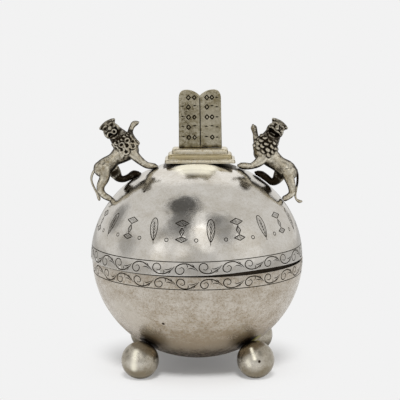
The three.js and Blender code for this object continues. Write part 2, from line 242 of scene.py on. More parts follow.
# %% Patches of the tent
SKY = 0.76
BELOW = 0.7  # how much of the light is left below the sheet's level
PATCHES = [
    # azimuth, elevation, half width, softness (degrees), light
    (-45, 74, 12, 4, 0.12),  # dark card high on the left
    (-27, 54, 10, 4, 0.2),
    (-20, 45, 8, 5, 0.25),
    (-40, 35, 6, 6, 0.4),
    (-16, 35, 5, 6, 0.48),
    (38, 47, 11, 6, 0.44),  # dim room on the right
    (40, 36, 8, 6, 0.38),
    (33, 56, 5, 4, 0.22),
    (12, 67, 2.5, 3, 0.95),  # narrow strip to the right of the camera
    (9.5, 57, 3, 3, 1.0),
    (6.5, 46, 6, 3, 1.45),
    (6, 37, 5.5, 4, 1.2),
    (2, 8, 14, 8, 0.62),  # the camera's own stand
    (-17, 19, 5, 5, 0.95),
    (9, 31, 3.5, 3, 1.15),
    (10, 24, 3, 4, 1.1),
    (-84, 14, 9, 6, 0.48),
    (-120, 22, 7, 6, 0.32),
    (-42, 11, 4.5, 5, 1.0),  # window on the left
    (-41, 20, 4, 4, 1.2),
    (-38, 29, 3, 4, 1.0),
    (60, 20, 14, 8, 0.9),  # fill on the right
    (180, 42, 20, 10, 1.05),  # light from the back wall
]


# %% Light tent
def tent_material():
    material, tree = blank(bpy.data.materials.new("light_tent"))
    place = add(tree, "TexCoord").outputs["Object"]
    ray = add(tree, "VectorMath", {0: place}, operation="NORMALIZE")
    level = SKY
    for azimuth, elevation, half, soft, light in PATCHES:
        a, e = math.radians(azimuth), math.radians(elevation)
        way = (math.sin(a) * math.cos(e), -math.cos(a) * math.cos(e), math.sin(e))
        near = add(tree, "VectorMath", {0: ray, 1: way}, operation="DOT_PRODUCT")
        inner, outer = math.cos(math.radians(half)), math.cos(math.radians(half + soft))
        mask = add(tree, "MapRange", {0: near.outputs["Value"], 1: outer, 2: inner}, **SOFT)
        level = add(tree, "Mix", {0: mask, FIRST_VALUE: level, SECOND_VALUE: light})
    height = add(tree, "SeparateXYZ", {0: ray}).outputs["Z"]
    low = add(tree, "MapRange", {0: height, 1: -0.06, 2: 0.0, 3: BELOW, 4: 1}, **SOFT)
    level = add(tree, "Math", {0: level, 1: low}, operation="MULTIPLY")
    glow = add(tree, "Emission", {"Color": (1, 0.987, 0.962, 1), "Strength": level})
    add(tree, "OutputMaterial", {"Surface": glow})
    return material


bm = bmesh.new()
bmesh.ops.create_uvsphere(bm, u_segments=48, v_segments=24, radius=3)
bmesh.ops.reverse_faces(bm, faces=bm.faces)
tent = mesh_object("light_tent", bm, [tent_material()])
tent.location = (0, 0, 0.075)  # the middle of the box
for ray in ("camera", "diffuse", "shadow", "transmission", "volume_scatter"):
    setattr(tent, "visible_" + ray, False)
tent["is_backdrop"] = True
print("tent patches", len(PATCHES))

# %% [markdown]
# ## Silver
# Sterling silver is bright and slightly warm. Raised sheet keeps faint hammer marks and polishing
# scratches. Sulphur in the air turns it yellow, brown and at last nearly black, first where
# nothing rubs it: in cuts, under edges and round solder joints. The material mixes three silvers,
# clean, warm and dark, by blotches, by chosen places of soil and painted shade, by places rubbed
# clean that also serve as painted highlights, and by an attribute of grime and painted shade that
# the dense cast pieces carry. A matt cream that the lamps light paints highlights in front of the
# plinth and on the front feet, and dried polish stays yellow-green in a corner that the cloth can't
# reach. The marks' sizes are real ones, in millimetres. The finest scratches would be too fine for
# the picture, so they are drawn about ten times as wide.

# %% Chosen places
# a matt cream that the lamps light, for painted highlights
PAINTED_HIGHLIGHT_CREAM = "#f4efdb"
DRIED_POLISH = "#938c24"


def per_mm(millimetres):
    """A texture's scale for features of this size."""
    return 1 / (millimetres * MM)


def nearby(tree, where, places, level=0):
    """The level, raised around each place: (x, y, z), full within, gone beyond, amount."""
    for (x, y, z), inner, outer, amount in places:
        centre = (x * MM, (y + AXIS_Y) * MM, z * MM)
        away = add(tree, "VectorMath", {0: where, 1: centre}, operation="DISTANCE").outputs["Value"]
        mask = {0: away, 1: inner * MM, 2: outer * MM, 3: amount, 4: 0}
        mask = add(tree, "MapRange", mask, **SOFT)
        level = add(tree, "Math", {0: level, 1: mask}, operation="MAXIMUM")
    return level


def round_foot(tree, where, foot, level):
    """The level, raised along an oblong foot: its middle (x, y), half sizes, reach and amount."""
    (x, y), (wide, deep), reach, amount = foot
    apart = {0: where, 1: (x * MM, (y + AXIS_Y) * MM, 0)}
    apart = add(tree, "VectorMath", apart, operation="SUBTRACT")
    apart = add(tree, "VectorMath", {0: apart}, operation="ABSOLUTE")
    apart = add(tree, "VectorMath", {0: apart, 1: (wide * MM, deep * MM, 0)}, operation="SUBTRACT")
    axes = add(tree, "SeparateXYZ", {0: apart}).outputs
    away = add(tree, "Math", {0: axes["X"], 1: axes["Y"]}, operation="MAXIMUM")
    mask = add(tree, "MapRange", {0: away, 1: 0, 2: reach * MM, 3: amount, 4: 0}, **SOFT)
    return add(tree, "Math", {0: level, 1: mask}, operation="MAXIMUM")


# %% Yellow haze
def hazed(tree, where, zones, tarnish, blotch, specks, rubbed_and_highlit):
    """How yellow the silver is: clouds, specks, bands between two heights, and places worn clean, which
    also serve as painted highlights.
    """
    lying = add(tree, "Mapping", {"Vector": where, "Scale": (1, 1, 1.8)})
    cloud = {"Vector": lying, "Scale": per_mm(blotch), "Detail": 6, "Roughness": 0.7}
    cloud = {0: add(tree, "TexNoise", cloud), 1: 0.34, 2: 0.7, 3: 0, 4: tarnish * 1.4}
    speck = {"Vector": where, "Scale": per_mm(1.2), "Detail": 3, "Roughness": 0.85}
    speck = {0: add(tree, "TexNoise", speck), 1: 0.47, 2: 0.62, 3: 0, 4: tarnish * specks}
    cloud, speck = (add(tree, "MapRange", ends, **SOFT) for ends in (cloud, speck))
    haze = add(tree, "Math", {0: cloud, 1: speck}, operation="ADD")
    height = add(tree, "SeparateXYZ", {0: where}).outputs["Z"]
    for low, high, soft, amount in zones:
        rise = {0: height, 1: (low - soft) * MM, 2: low * MM, 3: 0, 4: amount}
        fall = {0: height, 1: high * MM, 2: (high + soft) * MM, 3: 1, 4: 0}
        rise, fall = (add(tree, "MapRange", ends, **SOFT) for ends in (rise, fall))
        haze = add(tree, "Math", {0: rise, 1: fall, 2: haze}, operation="MULTIPLY_ADD")
    haze = add(tree, "Clamp", {0: haze})
    if rubbed_and_highlit:
        kept = {0: 1.0, 1: nearby(tree, where, rubbed_and_highlit)}
        kept = add(tree, "Math", kept, operation="SUBTRACT")
        haze = add(tree, "Math", {0: haze, 1: kept}, operation="MULTIPLY")
    return haze


# %% Black soil and painted shade
def soil_and_shade(tree, where, grime_and_shade, places, foot):
    """Nearly black dirt and painted shade, with a ragged edge, from the attribute, the chosen places and
    an oblong foot.
    """
    level = add(tree, "Attribute", attribute_name="grime_and_shade").outputs["Fac"] if grime_and_shade else 0
    level = nearby(tree, where, places, level)
    if foot:
        level = round_foot(tree, where, foot, level)
    ragged = {"Vector": where, "Scale": per_mm(2.4), "Detail": 3, "Roughness": 0.7}
    ragged = {0: add(tree, "TexNoise", ragged), 1: 0.3, 2: 0.7, 3: -0.22, 4: 0.22}
    uneven = {0: level, 1: add(tree, "MapRange", ragged)}
    uneven = {0: add(tree, "Math", uneven, operation="ADD"), 1: 0.12, 2: 0.85}
    there = {0: level, 1: 0.0, 2: 0.1}
    uneven, there = (add(tree, "MapRange", ends, **SOFT) for ends in (uneven, there))
    return add(tree, "Math", {0: uneven, 1: there}, operation="MULTIPLY")


# %% Scratches and hammer marks
def worked(tree, where, grain, hammer):
    """The bump of a worked sheet: scratches both ways, and hammer marks where it was raised."""
    marks = {"Scale": per_mm(2.2), "Detail": 3, "Roughness": 0.75}
    rubs = []
    for stretch in ((1, 1, 9), (9, 9, 1)):
        turn = add(tree, "Mapping", {"Vector": where, "Scale": stretch})
        rubs.append(add(tree, "TexNoise", {"Vector": turn, **marks}))
    fine = add(tree, "Math", {0: rubs[0], 1: rubs[1]}, operation="ADD")
    bump = add(tree, "Bump", {"Height": fine, "Strength": grain, "Distance": 0.03 * MM})
    if hammer:
        dents = {"Vector": where, "Scale": per_mm(10), "Detail": 2, "Roughness": 0.5}
        faces = {"Vector": where, "Scale": per_mm(5), "Smoothness": 0.6}
        for height, depth in (
            (add(tree, "TexNoise", dents), hammer),
            (add(tree, "TexVoronoi", faces, feature="SMOOTH_F1"), hammer * 0.14),
        ):
            blows = {"Height": height, "Strength": 1.0, "Distance": depth * MM, "Normal": bump}
            bump = add(tree, "Bump", blows)
    return bump


# %% The whole silver
def silver(name, clean, warm, *, tarnish, rough, blotch, dark="#3a2f24", specks=1.3, hammer=0,
           grain=0.3, grime_and_shade=False, places=(), zones=(), rubbed_and_highlit=(), painted_highlights=(), paste=(), foot=None):
    material, tree = blank(bpy.data.materials.new(name))
    where = add(tree, "TexCoord").outputs["Object"]
    haze = hazed(tree, where, zones, tarnish, blotch, specks, rubbed_and_highlit)
    layers = [(haze, warm)]
    gloss = {"Vector": where, "Scale": per_mm(9), "Detail": 4, "Roughness": 0.6}
    gloss = {0: add(tree, "TexNoise", gloss), 1: 0.3, 2: 0.7, 3: rough * 0.75, 4: rough * 1.35}
    gloss = {0: haze, 1: 0.12, 2: add(tree, "MapRange", gloss, **SOFT)}
    gloss = add(tree, "Math", gloss, operation="MULTIPLY_ADD")
    metal = 1.0
    # painted highlights: a matt cream patch, not metal, that the lamps light
    if painted_highlights:
        white = nearby(tree, where, painted_highlights)
        layers.append((white, PAINTED_HIGHLIGHT_CREAM))
        metal = add(tree, "Math", {0: 1.0, 1: white}, operation="SUBTRACT")
    if grime_and_shade or places:
        black = soil_and_shade(tree, where, grime_and_shade, places, foot)
        layers.append((black, dark))
        gloss = add(tree, "Math", {0: black, 1: 0.25, 2: gloss}, operation="MULTIPLY_ADD")
    if paste:
        layers.append((nearby(tree, where, paste), DRIED_POLISH))
    colour = linear(clean)
    for mask, hex_code in layers:
        pair = {0: mask, FIRST_COLOUR: colour, SECOND_COLOUR: linear(hex_code)}
        colour = add(tree, "Mix", pair, data_type="RGBA").outputs[MIXED_COLOUR]
    shader = {"Base Color": colour, "Metallic": metal, "Roughness": gloss}
    shader["Normal"] = worked(tree, where, grain, hammer)
    shader = add(tree, "BsdfPrincipled", shader)
    add(tree, "OutputMaterial", {"Surface": shader})
    return material


# %% [markdown]
# ## Finishing a piece
# Every new piece ends the same way: doubles merged, faces turned out, millimetres made metres,
# smooth shading with sharp edges kept, its silver assigned, and a body of the CAD model to ride on.

# %% Finish
MERGED = 0.002  # points closer than this, in millimetres, are one


def finished(bm, name, body, materials, stands_for, sharp=35):
    bmesh.ops.remove_doubles(bm, verts=bm.verts, dist=MERGED)
    bmesh.ops.recalc_face_normals(bm, faces=bm.faces)
    bmesh.ops.translate(bm, verts=bm.verts, vec=(0, AXIS_Y, 0))
    bmesh.ops.scale(bm, verts=bm.verts, vec=(MM, MM, MM))
    piece = mesh_object(name, bm, materials)
    piece.data.shade_smooth()
    piece.data.set_sharp_from_angle(angle=math.radians(sharp))
    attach(piece, body)
    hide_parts(*stands_for)
    print(name, sum(len(p.vertices) - 2 for p in piece.data.polygons), "triangles")


# %% [markdown]
# ## The two halves of the ball
# Each half was raised from one disc of sheet. A profile of inner wall, rim and outer wall is
# spun once round. The belt that carries the engraving is left open by the spin and filled by
# the engraver's sheet below, which has the cuts in it as real grooves.

# %% Ball geometry
AROUND = 192  # points round the rim of the finished skin
DENTS = {"count": 26, "depth": 0.16, "reach": (7, 16), "from_middle": 54}


def quarter_table(half):
    """The half's section from rim to pole: length along it, radius and height."""
    t = np.linspace(0, math.pi / 2, 600)
    r = half["radius"] * np.cos(t)
    z = half["height"] * np.sin(t)
    s = np.concatenate([[0], np.cumsum(np.hypot(np.diff(r), np.diff(z)))])
    return s, r, z


def on_half(half, u, s, sink):
    """Points of the flat sheet on the half: u round the rim, s up the section, and how deep."""
    table_s, table_r, table_z = quarter_table(half)
    angle = math.pi / 2 + u / half["radius"]
    r = np.interp(s, table_s, table_r)
    z = np.interp(s, table_s, table_z)
    slope_r = r / half["radius"] ** 2
    slope_z = z / half["height"] ** 2
    size = np.hypot(slope_r, slope_z)
    r = r - sink * slope_r / size
    z = z - sink * slope_z / size
    return np.stack([r * np.cos(angle), r * np.sin(angle), z], 1)


def dented(points, seed):
    """Old sheet is never quite true: broad shallow hollows, only ever inward."""
    rng = np.random.default_rng(seed)
    inward = np.zeros(len(points))
    for _ in range(DENTS["count"]):
        centre = rng.normal(size=3)
        centre /= np.linalg.norm(centre)
        reach = rng.uniform(*DENTS["reach"])
        away = np.linalg.norm(points - centre * DENTS["from_middle"], axis=1)
        inward += rng.uniform(0.3, 1) * DENTS["depth"] * np.exp(-((away / reach) ** 2))
    size = np.linalg.norm(points, axis=1, keepdims=True)
    return points * (1 - inward[:, None] / size)


def seated_lid(points):
    """The rim's bend, the lid's tilt and its place on the bowl, as in the CAD source."""
    x, y, z = points.T
    around = np.arctan2(y, x)
    share = np.clip(1 - z / RIM_BEND["reach"], 0, None)
    near = ((1 + np.cos(around - RIM_BEND["at"])) / 2) ** RIM_BEND["sharpness"]
    z = z + RIM_BEND["lift"] * near * share
    c, s = math.cos(LID_TILT), math.sin(LID_TILT)
    return np.stack([x * c - z * s - LID_SHIFT, y, x * s + z * c + LID_Z], 1)


def seated_bowl(points):
    return points + np.array([0, 0, SEAM_Z])


print("from rim to pole, in mm:", [round(quarter_table(half)[0][-1], 1) for half in (BOWL, LID)])

# %% [markdown]
# ## Engraving
# An engraver's burin throws a thin V-shaped groove. Each cut here is a run of points with a half
# width that tapers at its ends. The sheet is triangulated flat, with the cuts' edges and bottoms
# as fixed lines, then bent round the ball, and the bottoms are pushed in. Faces inside a cut take
# the dark tarnish that collects there.

# %% Cuts
COLUMN, MARGIN = 4, 0.6  # cuts are looked up by columns of the sheet, a little wider than they are


def cut(points, half, taper=True):
    """A cut's points and their half widths."""
    points = np.asarray(points, float)
    widths = np.full(len(points), float(half))
    if taper:
        widths[[0, -1]] = half * 0.35
    return points, widths


def cut_edges(points, widths):
    step = np.gradient(points, axis=0)
    step /= np.linalg.norm(step, axis=1, keepdims=True) + 1e-12
    normal = np.stack([-step[:, 1], step[:, 0]], 1)
    return points + normal * widths[:, None], points - normal * widths[:, None]


def nearness(samples, cuts):
    """For each sample, 1 at a cut's bottom, 0 at its edge and negative outside it."""
    starts, ends = (np.concatenate([p[part] for p, _ in cuts]) for part in (slice(-1), slice(1, None)))
    half_a, half_b = (np.concatenate([w[part] for _, w in cuts]) for part in (slice(-1), slice(1, None)))
    best = np.full(len(samples), -9.0)
    columns = np.floor(samples[:, 0] / COLUMN).astype(int)
    for column in np.unique(columns):
        chosen = np.where(columns == column)[0]
        low, high = column * COLUMN - MARGIN, (column + 1) * COLUMN + MARGIN
        begins = np.minimum(starts[:, 0], ends[:, 0]) <= high
        close = begins & (np.maximum(starts[:, 0], ends[:, 0]) >= low)
        if not close.any():
            continue
        a, d = starts[close], (ends - starts)[close]
        long = (d**2).sum(1) + 1e-12
        rel = samples[chosen][:, None, :] - a[None]
        t = np.clip((rel * d[None]).sum(2) / long, 0, 1)
        away = np.linalg.norm(rel - t[..., None] * d[None], axis=2)
        half = half_a[close] + (half_b - half_a)[close] * t
        best[chosen] = np.maximum(best[chosen], (1 - away / half).max(1))
    return best


# %% Engraved sheet
CLEAR = 0.35  # the grid's points keep this far from a cut


def inside(samples, border):
    """Which samples lie within a closed border, by counting the sides that a level ray crosses."""
    x, y = samples.T
    odd = np.zeros(len(samples), bool)
    for (x1, y1), (x2, y2) in zip(border, np.roll(border, -1, 0)):
        crosses = (y1 > y) != (y2 > y)
        with np.errstate(divide="ignore", invalid="ignore"):
            at = (x2 - x1) * (y - y1) / (y2 - y1) + x1
        odd ^= crosses & (x < at)
    return odd


def engraved_sheet(border, cuts, spacing, depth):
    """The flat sheet inside a border: points, how deep each lies, triangles, and which are in cuts."""
    points = [tuple(p) for p in border]
    edges = [(i, (i + 1) % len(border)) for i in range(len(border))]
    for line, widths in cuts:
        start, n = len(points), len(line)
        points += [tuple(p) for p in (*line, *np.vstack(cut_edges(line, widths)))]
        for k in range(3):
            edges += [(start + k * n + i, start + k * n + i + 1) for i in range(n - 1)]
        for tip in (start, start + n - 1):
            edges += [(tip, tip + n), (tip, tip + 2 * n)]
    low, high = np.min(border, 0), np.max(border, 0)
    grid = []
    for j, y in enumerate(np.arange(low[1] + spacing / 2, high[1] - spacing / 4, spacing)):
        first = low[0] + spacing * (0.5 + 0.5 * (j % 2))
        grid += [(x, y) for x in np.arange(first, high[0] - spacing / 4, spacing)]
    grid = np.array(grid)
    grid = grid[nearness(grid, [(p, w + CLEAR) for p, w in cuts]) < 0]
    points += [tuple(p) for p in grid]
    flat, _, faces, *_ = delaunay_2d_cdt([Vector(p) for p in points], edges, [], 0, 1e-4)
    flat = np.array([tuple(p) for p in flat])
    faces = np.array([tuple(f) for f in faces])
    faces = faces[inside(flat[faces].mean(1), np.asarray(border))]
    sink = depth * np.clip(nearness(flat, cuts), 0, 1)
    return flat, sink, faces, nearness(flat[faces].mean(1), cuts) > 0.02


def add_faces(bm, places, faces, grooved):
    verts = [bm.verts.new(p) for p in places]
    for face, in_cut in zip(faces, grooved):
        bm.faces.new([verts[j] for j in face]).material_index = int(in_cut)


# %% [markdown]
# ## The running scroll
# Both bands carry the same vine. Every stem springs from the curl before it, runs over a crest and
# winds in to the next curl, up and down in turn, with a leaf stroke inside the crest and a smaller
# one outside. The knots were drawn once, in millimetres from the curl's middle, as an engraver
# would from a pricked pattern. It was cut by eye, so no two curls are quite alike. The hinge covers
# the place at the back where the vine starts and ends.

# %% Scroll and border cuts
VINE = {"units": 28, "clear": 10.5, "middle": 3.5, "full": 6.9, "pitch": 11.5}
CREST = [(8.8, -0.8), (7.7, 0.6), (6.4, 1.5), (4.2, 2.8), (2.0, 3.05), (0, 2.65), (-1.7, 1.5),
         (-2.3, -0.1), (-1.6, -1.7), (0, -2.3), (1.6, -1.55), (2.1, 0.1), (1.0, 1.15), (-0.2, 0.7)]
INNER_LEAF = [(7.7, -0.2), (6.4, 0.5), (5.0, 0.8), (4.1, 0.55)]
OUTER_LEAF = [(7.0, 1.1), (6.7, 2.0), (5.8, 2.7)]
SPROUT = [(3.1, 2.9), (3.7, 1.9), (3.5, 1.1)]


def smooth(knots, steps):
    """Points on a Catmull-Rom curve through the knots."""
    knots = np.asarray(knots, float)
    padded = np.vstack([2 * knots[0] - knots[1], knots, 2 * knots[-1] - knots[-2]])
    out = []
    for i in range(len(knots) - 1):
        p0, p1, p2, p3 = padded[i : i + 4]
        for k in range(steps):
            t = k / steps
            bend = (2 * p0 - 5 * p1 + 4 * p2 - p3) * t**2 + (3 * p1 - p0 - 3 * p2 + p3) * t**3
            out.append(0.5 * (2 * p1 + (p2 - p0) * t + bend))
    return np.array([*out, knots[-1]])


def stroke(knots, steps, widths):
    """A cut that swells and dies away: its half widths are spread over its length."""
    line = smooth(knots, steps)
    return line, np.interp(np.linspace(0, 1, len(line)), np.linspace(0, 1, len(widths)), widths)


def vine(length, height, seed):
    rng = random.Random(seed)
    scale = height / VINE["full"]
    pitch = (length - 2 * VINE["clear"]) / VINE["units"]
    across = pitch / VINE["pitch"]
    cuts = []
    for i in range(VINE["units"] - 1):
        way = 1 if i % 2 else -1
        size = scale * rng.uniform(0.94, 1.0)
        u = VINE["clear"] + (i + 0.3) * pitch + rng.uniform(-0.3, 0.3)
        s = VINE["middle"] * scale - way * 0.35 * scale + rng.uniform(-0.12, 0.12)

        def placed(knots):
            return [(u + x * (size if x < 3 else across), s + way * y * size) for x, y in knots]

        cuts.append(stroke(placed(CREST), 4, (0.12, 0.27, 0.3, 0.27, 0.24, 0.22, 0.14)))
        for leaf in (INNER_LEAF, OUTER_LEAF, SPROUT):
            if leaf is not SPROUT or rng.random() < 0.5:
                cuts.append(stroke(placed(leaf), 3, (0.1, 0.24, 0.1)))
    return cuts


def ring(length, height, rng):
    """A line scribed right round; its ends run level, so that they meet at the back."""
    u = np.linspace(0, length, 181)
    v = height + 0.05 * np.sin(u / length * 2 * math.pi * 3 + rng.uniform(0, 6))
    v[:2] = v[-2:] = height
    return cut(np.stack([u, v], 1), 0.22, taper=False)


print("curls in a vine", VINE["units"] - 1)

# %% [markdown]
# ## The ring of leaves on the lid
# Above its band the lid carries a ring of outlined and hatched ornaments with small rings between
# them. Leaves and stacks of lozenges take turns, a plain pattern of the trade.

# %% Leaf and lozenge cuts
ORNAMENTS = 22
SLANT = 0.5  # how far a hatching line leans for its rise


def hatched(outline, spacing):
    """Short parallel cuts inside a closed outline."""
    low, high = outline.min(0), outline.max(0)
    middle, rise = (low + high) / 2, high[1] - low[1]
    t = np.linspace(0, 1, 25)
    cuts = []
    for start in np.arange(low[0] - rise * SLANT, high[0], spacing):
        line = np.stack([start + t * rise * SLANT, low[1] + t * rise], 1)
        held = inside(line, middle + (outline - middle) * 0.86)
        if held.sum() >= 3:
            cuts.append(cut(smooth(line[held][[0, -1]], 3), 0.15))
    return cuts


def closed(outline, half):
    return cut(np.vstack([outline, outline[:1]]), half, taper=False)


def leaf_outline(x, y, wide, tall, lean):
    t = np.linspace(0, 2 * math.pi, 23)[:-1]
    across = wide / 2 * np.sin(t) * np.abs(np.sin(t / 2)) ** 0.6
    along = -np.cos(t) * tall / 2
    turned_x = across * math.cos(lean) + along * math.sin(lean)
    turned_y = along * math.cos(lean) - across * math.sin(lean)
    return np.stack([x + turned_x, y + turned_y], 1)


def lozenge_outline(x, y, wide, tall):
    corners = [(x - wide / 2, y), (x, y - tall / 2), (x + wide / 2, y), (x, y + tall / 2)]
    sides = zip(corners, corners[1:] + corners[:1])
    return np.vstack([np.linspace(a, b, 4)[:-1] for a, b in sides])


def dot(x, y, reach):
    t = np.linspace(0, 2 * math.pi, 12)[:-1]
    return closed(np.stack([x + reach * np.cos(t), y + reach * 0.9 * np.sin(t)], 1), 0.2)


def ornaments(length, low, high, seed):
    rng = random.Random(seed)
    tall = high - low
    cuts = []
    for i in range(ORNAMENTS):
        x = (i + 0.5) / ORNAMENTS * length + rng.uniform(-0.4, 0.4)
        middle = (low + high) / 2 + rng.uniform(-0.3, 0.3)
        if i % 2:
            lean = rng.uniform(-0.15, 0.2)
            leaf = leaf_outline(x, middle, 5.2, tall, lean)
            tip = np.array([math.sin(lean), math.cos(lean)]) * tall / 2
            root = np.array([x, middle])
            cuts += [closed(leaf, 0.24), *hatched(leaf, 1.0)]
            cuts.append(stroke([root + tip * 0.7, root, root - tip * 1.25], 4, (0.12, 0.25, 0.15)))
        else:
            for rise, wide, share in ((0.33, 8.0, 0.3), (-0.05, 2.6, 0.38), (-0.38, 6.4, 0.24)):
                lozenge = lozenge_outline(x, middle + tall * rise, wide, tall * share)
                cuts += [closed(lozenge, 0.24), *hatched(lozenge, 0.85)]
        between = (i + 1) / ORNAMENTS * length
        if 1 < between < length - 1:
            cuts.append(dot(between, low + 1.0, 0.95))
    return cuts


print("ornaments", ORNAMENTS)

# %% [markdown]
# ## Building each half
# The engraved belt is a strip of the sheet from the rim upwards. The rest, which is the crown, the
# inner wall and the rim's edge, is one profile spun once round. The spin and the belt share the
# points where they meet, so the two close into one skin when doubles are merged. The inside was
# never polished, so it has a silver of its own.


# %% Half of the ball
def turned(profile, is_loop=True):
    """A profile of [radius, height] pairs spun round the upright axis."""
    bm = bmesh.new()
    verts = [bm.verts.new((r, 0, z)) for r, z in profile]
    pairs = list(zip(verts, verts[1:])) + ([(verts[-1], verts[0])] if is_loop else [])
    edges = [bm.edges.new(pair) for pair in pairs]
    bmesh.ops.spin(bm, geom=verts + edges, cent=(0, 0, 0), axis=(0, 0, 1), dvec=(0, 0, 0),
                   angle=2 * math.pi, steps=AROUND, use_merge=True, use_duplicate=False)
    return bm


def half_profile(half, belt):
    """From the belt over the crown, back down the inner wall and out over the rim's edge."""
    thin = math.copysign(WALL, half["height"])
    wall = {"radius": half["radius"] - WALL, "height": half["height"] - thin}
    runs = []
    for skin, start, end, steps in ((half, belt, None, 41), (wall, None, 0, 31)):
        s, r, z = quarter_table(skin)
        at = np.linspace(s[-1] if start is None else start, s[-1] if end is None else end, steps)
        runs += zip(np.interp(at, s, r), np.interp(at, s, z))
    return [*runs, (half["radius"], 0.0)]


# %% Skin of one half
def half_skin(half, belt, cuts, seat, seed):
    bm = turned(half_profile(half, belt), is_loop=False)
    length = 2 * math.pi * half["radius"]
    sides = np.linspace(0, length, AROUND + 1)
    rise = np.linspace(0, belt, int(belt / 2) + 1)
    border = [(u, 0) for u in sides[:-1]] + [(length, s) for s in rise[:-1]]
    border += [(u, belt) for u in sides[::-1][:-1]] + [(0, s) for s in rise[::-1][:-1]]
    flat, sink, faces, grooved = engraved_sheet(border, cuts, spacing=1.9, depth=0.2)
    add_faces(bm, on_half(half, flat[:, 0], flat[:, 1], sink), faces, grooved)
    bmesh.ops.remove_doubles(bm, verts=bm.verts, dist=MERGED)
    bmesh.ops.delete(bm, geom=[e for e in bm.edges if not e.link_faces], context="EDGES")
    for face in bm.faces:
        x, y, z = face.calc_center_median()
        out = math.hypot(x / half["radius"], y / half["radius"], z / half["height"])
        if out < 0.99:  # the outer skin is at 1 and the inner one at about 0.98
            face.material_index = 2
    places = np.array([v.co[:] for v in bm.verts])
    for vert, place in zip(bm.verts, seat(dented(places, seed))):
        vert.co = place
    open_edges = sum(1 for e in bm.edges if len(e.link_faces) != 2)
    print("belt faces", len(faces), "in cuts", int(grooved.sum()), "open edges", open_edges)
    return bm


# %% [markdown]
# The bowl is soiled round its solder joints, and browner and darker towards its foot. The lid is the
# brighter half, with a painted highlight in front of the plinth, a dark solder line with painted
# shade round the plinth's foot, and soil where the lions' paws are soldered.


# %% Silvers of the ball
def middle_of_foot(reach, bearing):
    angle = math.radians(bearing)
    return Vector((reach * math.cos(angle), reach * math.sin(angle), FOOT_RADIUS - FOOT_WEAR))


def joint_of_foot(middle):
    """Where a foot's ball meets the bowl, for the dark ring round the solder."""
    toward = (Vector((0, 0, SEAM_Z)) - middle).normalized()
    return tuple(middle + toward * FOOT_RADIUS)


def streak(start, end, inner, outer, amount):
    """Eight places along a line, close enough to read as one."""
    line = [Vector(start).lerp(Vector(end), k / 7) for k in range(8)]
    return [(tuple(point), inner, outer, amount) for point in line]


BALLS_OF_FEET = [middle_of_foot(*place) for place in FEET.values()]
JOINTS = [joint_of_foot(middle) for middle in BALLS_OF_FEET]
PAWS = [(-22.4, -2.7, 104.6), (22.7, -2.6, 104.7), (-46.2, -3, 88), (46.2, -3, 88), (-31.4, 3, 100),
        (31.6, 3, 100)]
BOWL_SILVER = silver(
    "raised_silver_bowl", "#c9c2b7", "#9a8b75", tarnish=0.36, rough=0.2, blotch=9, hammer=0.16,
    grain=1.6, zones=[(51.6, 60, 0.4, -0.02), (0, 15, 26, 0.85)],
    places=[((-16.9, -45.1, 32.5), 0.4, 1.0, 1.0), ((29, -24.5, 19.8), 1, 4.5, 0.8),
            # darker towards the bottom, and dark round the solder joints
            ((0, 0, 5), 27, 42, 0.58), *((joint, 4, 7, 1.0) for joint in JOINTS),
            *((middle, 9.9, 12.2, 0.9) for middle in BALLS_OF_FEET)],
    # worn clean on the lower left, which also paints a highlight there
    rubbed_and_highlit=[((-37, -34, 31), 6, 20, 0.6)], paste=[((30.2, -21.6, 18.9), 2, 4.2, 0.95)],
)
LID_SILVER = silver(
    "raised_silver_lid", "#e1ded9", "#aca28f", tarnish=0.28, rough=0.1, blotch=14, hammer=0.24,
    grain=0.5, specks=0.7, zones=[(50, 65.2, 0.4, -0.06)],
    places=[((-26.7, -25.7, 96.1), 0.5, 1.1, 1.0), *((paw, 1.8, 3.8, 0.6) for paw in PAWS)],
    # a dark solder line with painted shade under the plinth's edge
    foot=((PLINTH_X, 0), (18.2, 9.25), 1.5, 0.9),
    # painted highlight in front of the plinth
    painted_highlights=[*streak((-8, -14.2, 106.8), (6, -14.8, 106.8), 2, 6.5, 0.92),
           *streak((-5.5, -18.6, 105.6), (4.5, -18.8, 105.6), 0.5, 6.5, 0.8)],
)
INSIDE_SILVER = silver("unpolished_inside", "#bdb5a7", "#8d8272", tarnish=0.5, rough=0.34,
                       blotch=12, hammer=0.2)
CUT_SILVER = silver("tarnish_in_the_cuts", "#41382c", "#332b22", tarnish=0.35, rough=0.5, blotch=6)
print("silvers", [m.name for m in bpy.data.materials if "silver" in m.name])

# %% Bowl and lid
rng = random.Random(4)
length, band = 2 * math.pi * BOWL["radius"], 6.35
cuts = [ring(length, band, rng), *vine(length, band, seed=11)]
bm = half_skin(BOWL, 9.5, cuts, seated_bowl, seed=5)
silvers = [BOWL_SILVER, CUT_SILVER, INSIDE_SILVER]
finished(bm, "raised_bowl", "box_base", silvers, ["bowl"])

length, band = 2 * math.pi * LID["radius"], 6.9
cuts = [ring(length, band, rng), *vine(length, band, seed=23), *ornaments(length, 16.6, 28.4, seed=8)]
bm = half_skin(LID, 34, cuts, seated_lid, seed=9)
silvers = [LID_SILVER, CUT_SILVER, INSIDE_SILVER]
finished(bm, "raised_lid", "box_lid", silvers, ["lid"])

# %% [markdown]
# ## The collar
# A strip of sheet is soldered inside the bowl's rim and stands up into the lid, so that the lid
# drops on and stays true. It is hidden when the box is shut, apart from the gap at the front.
# Its silver is dark, and darker still up to a little above the seam.

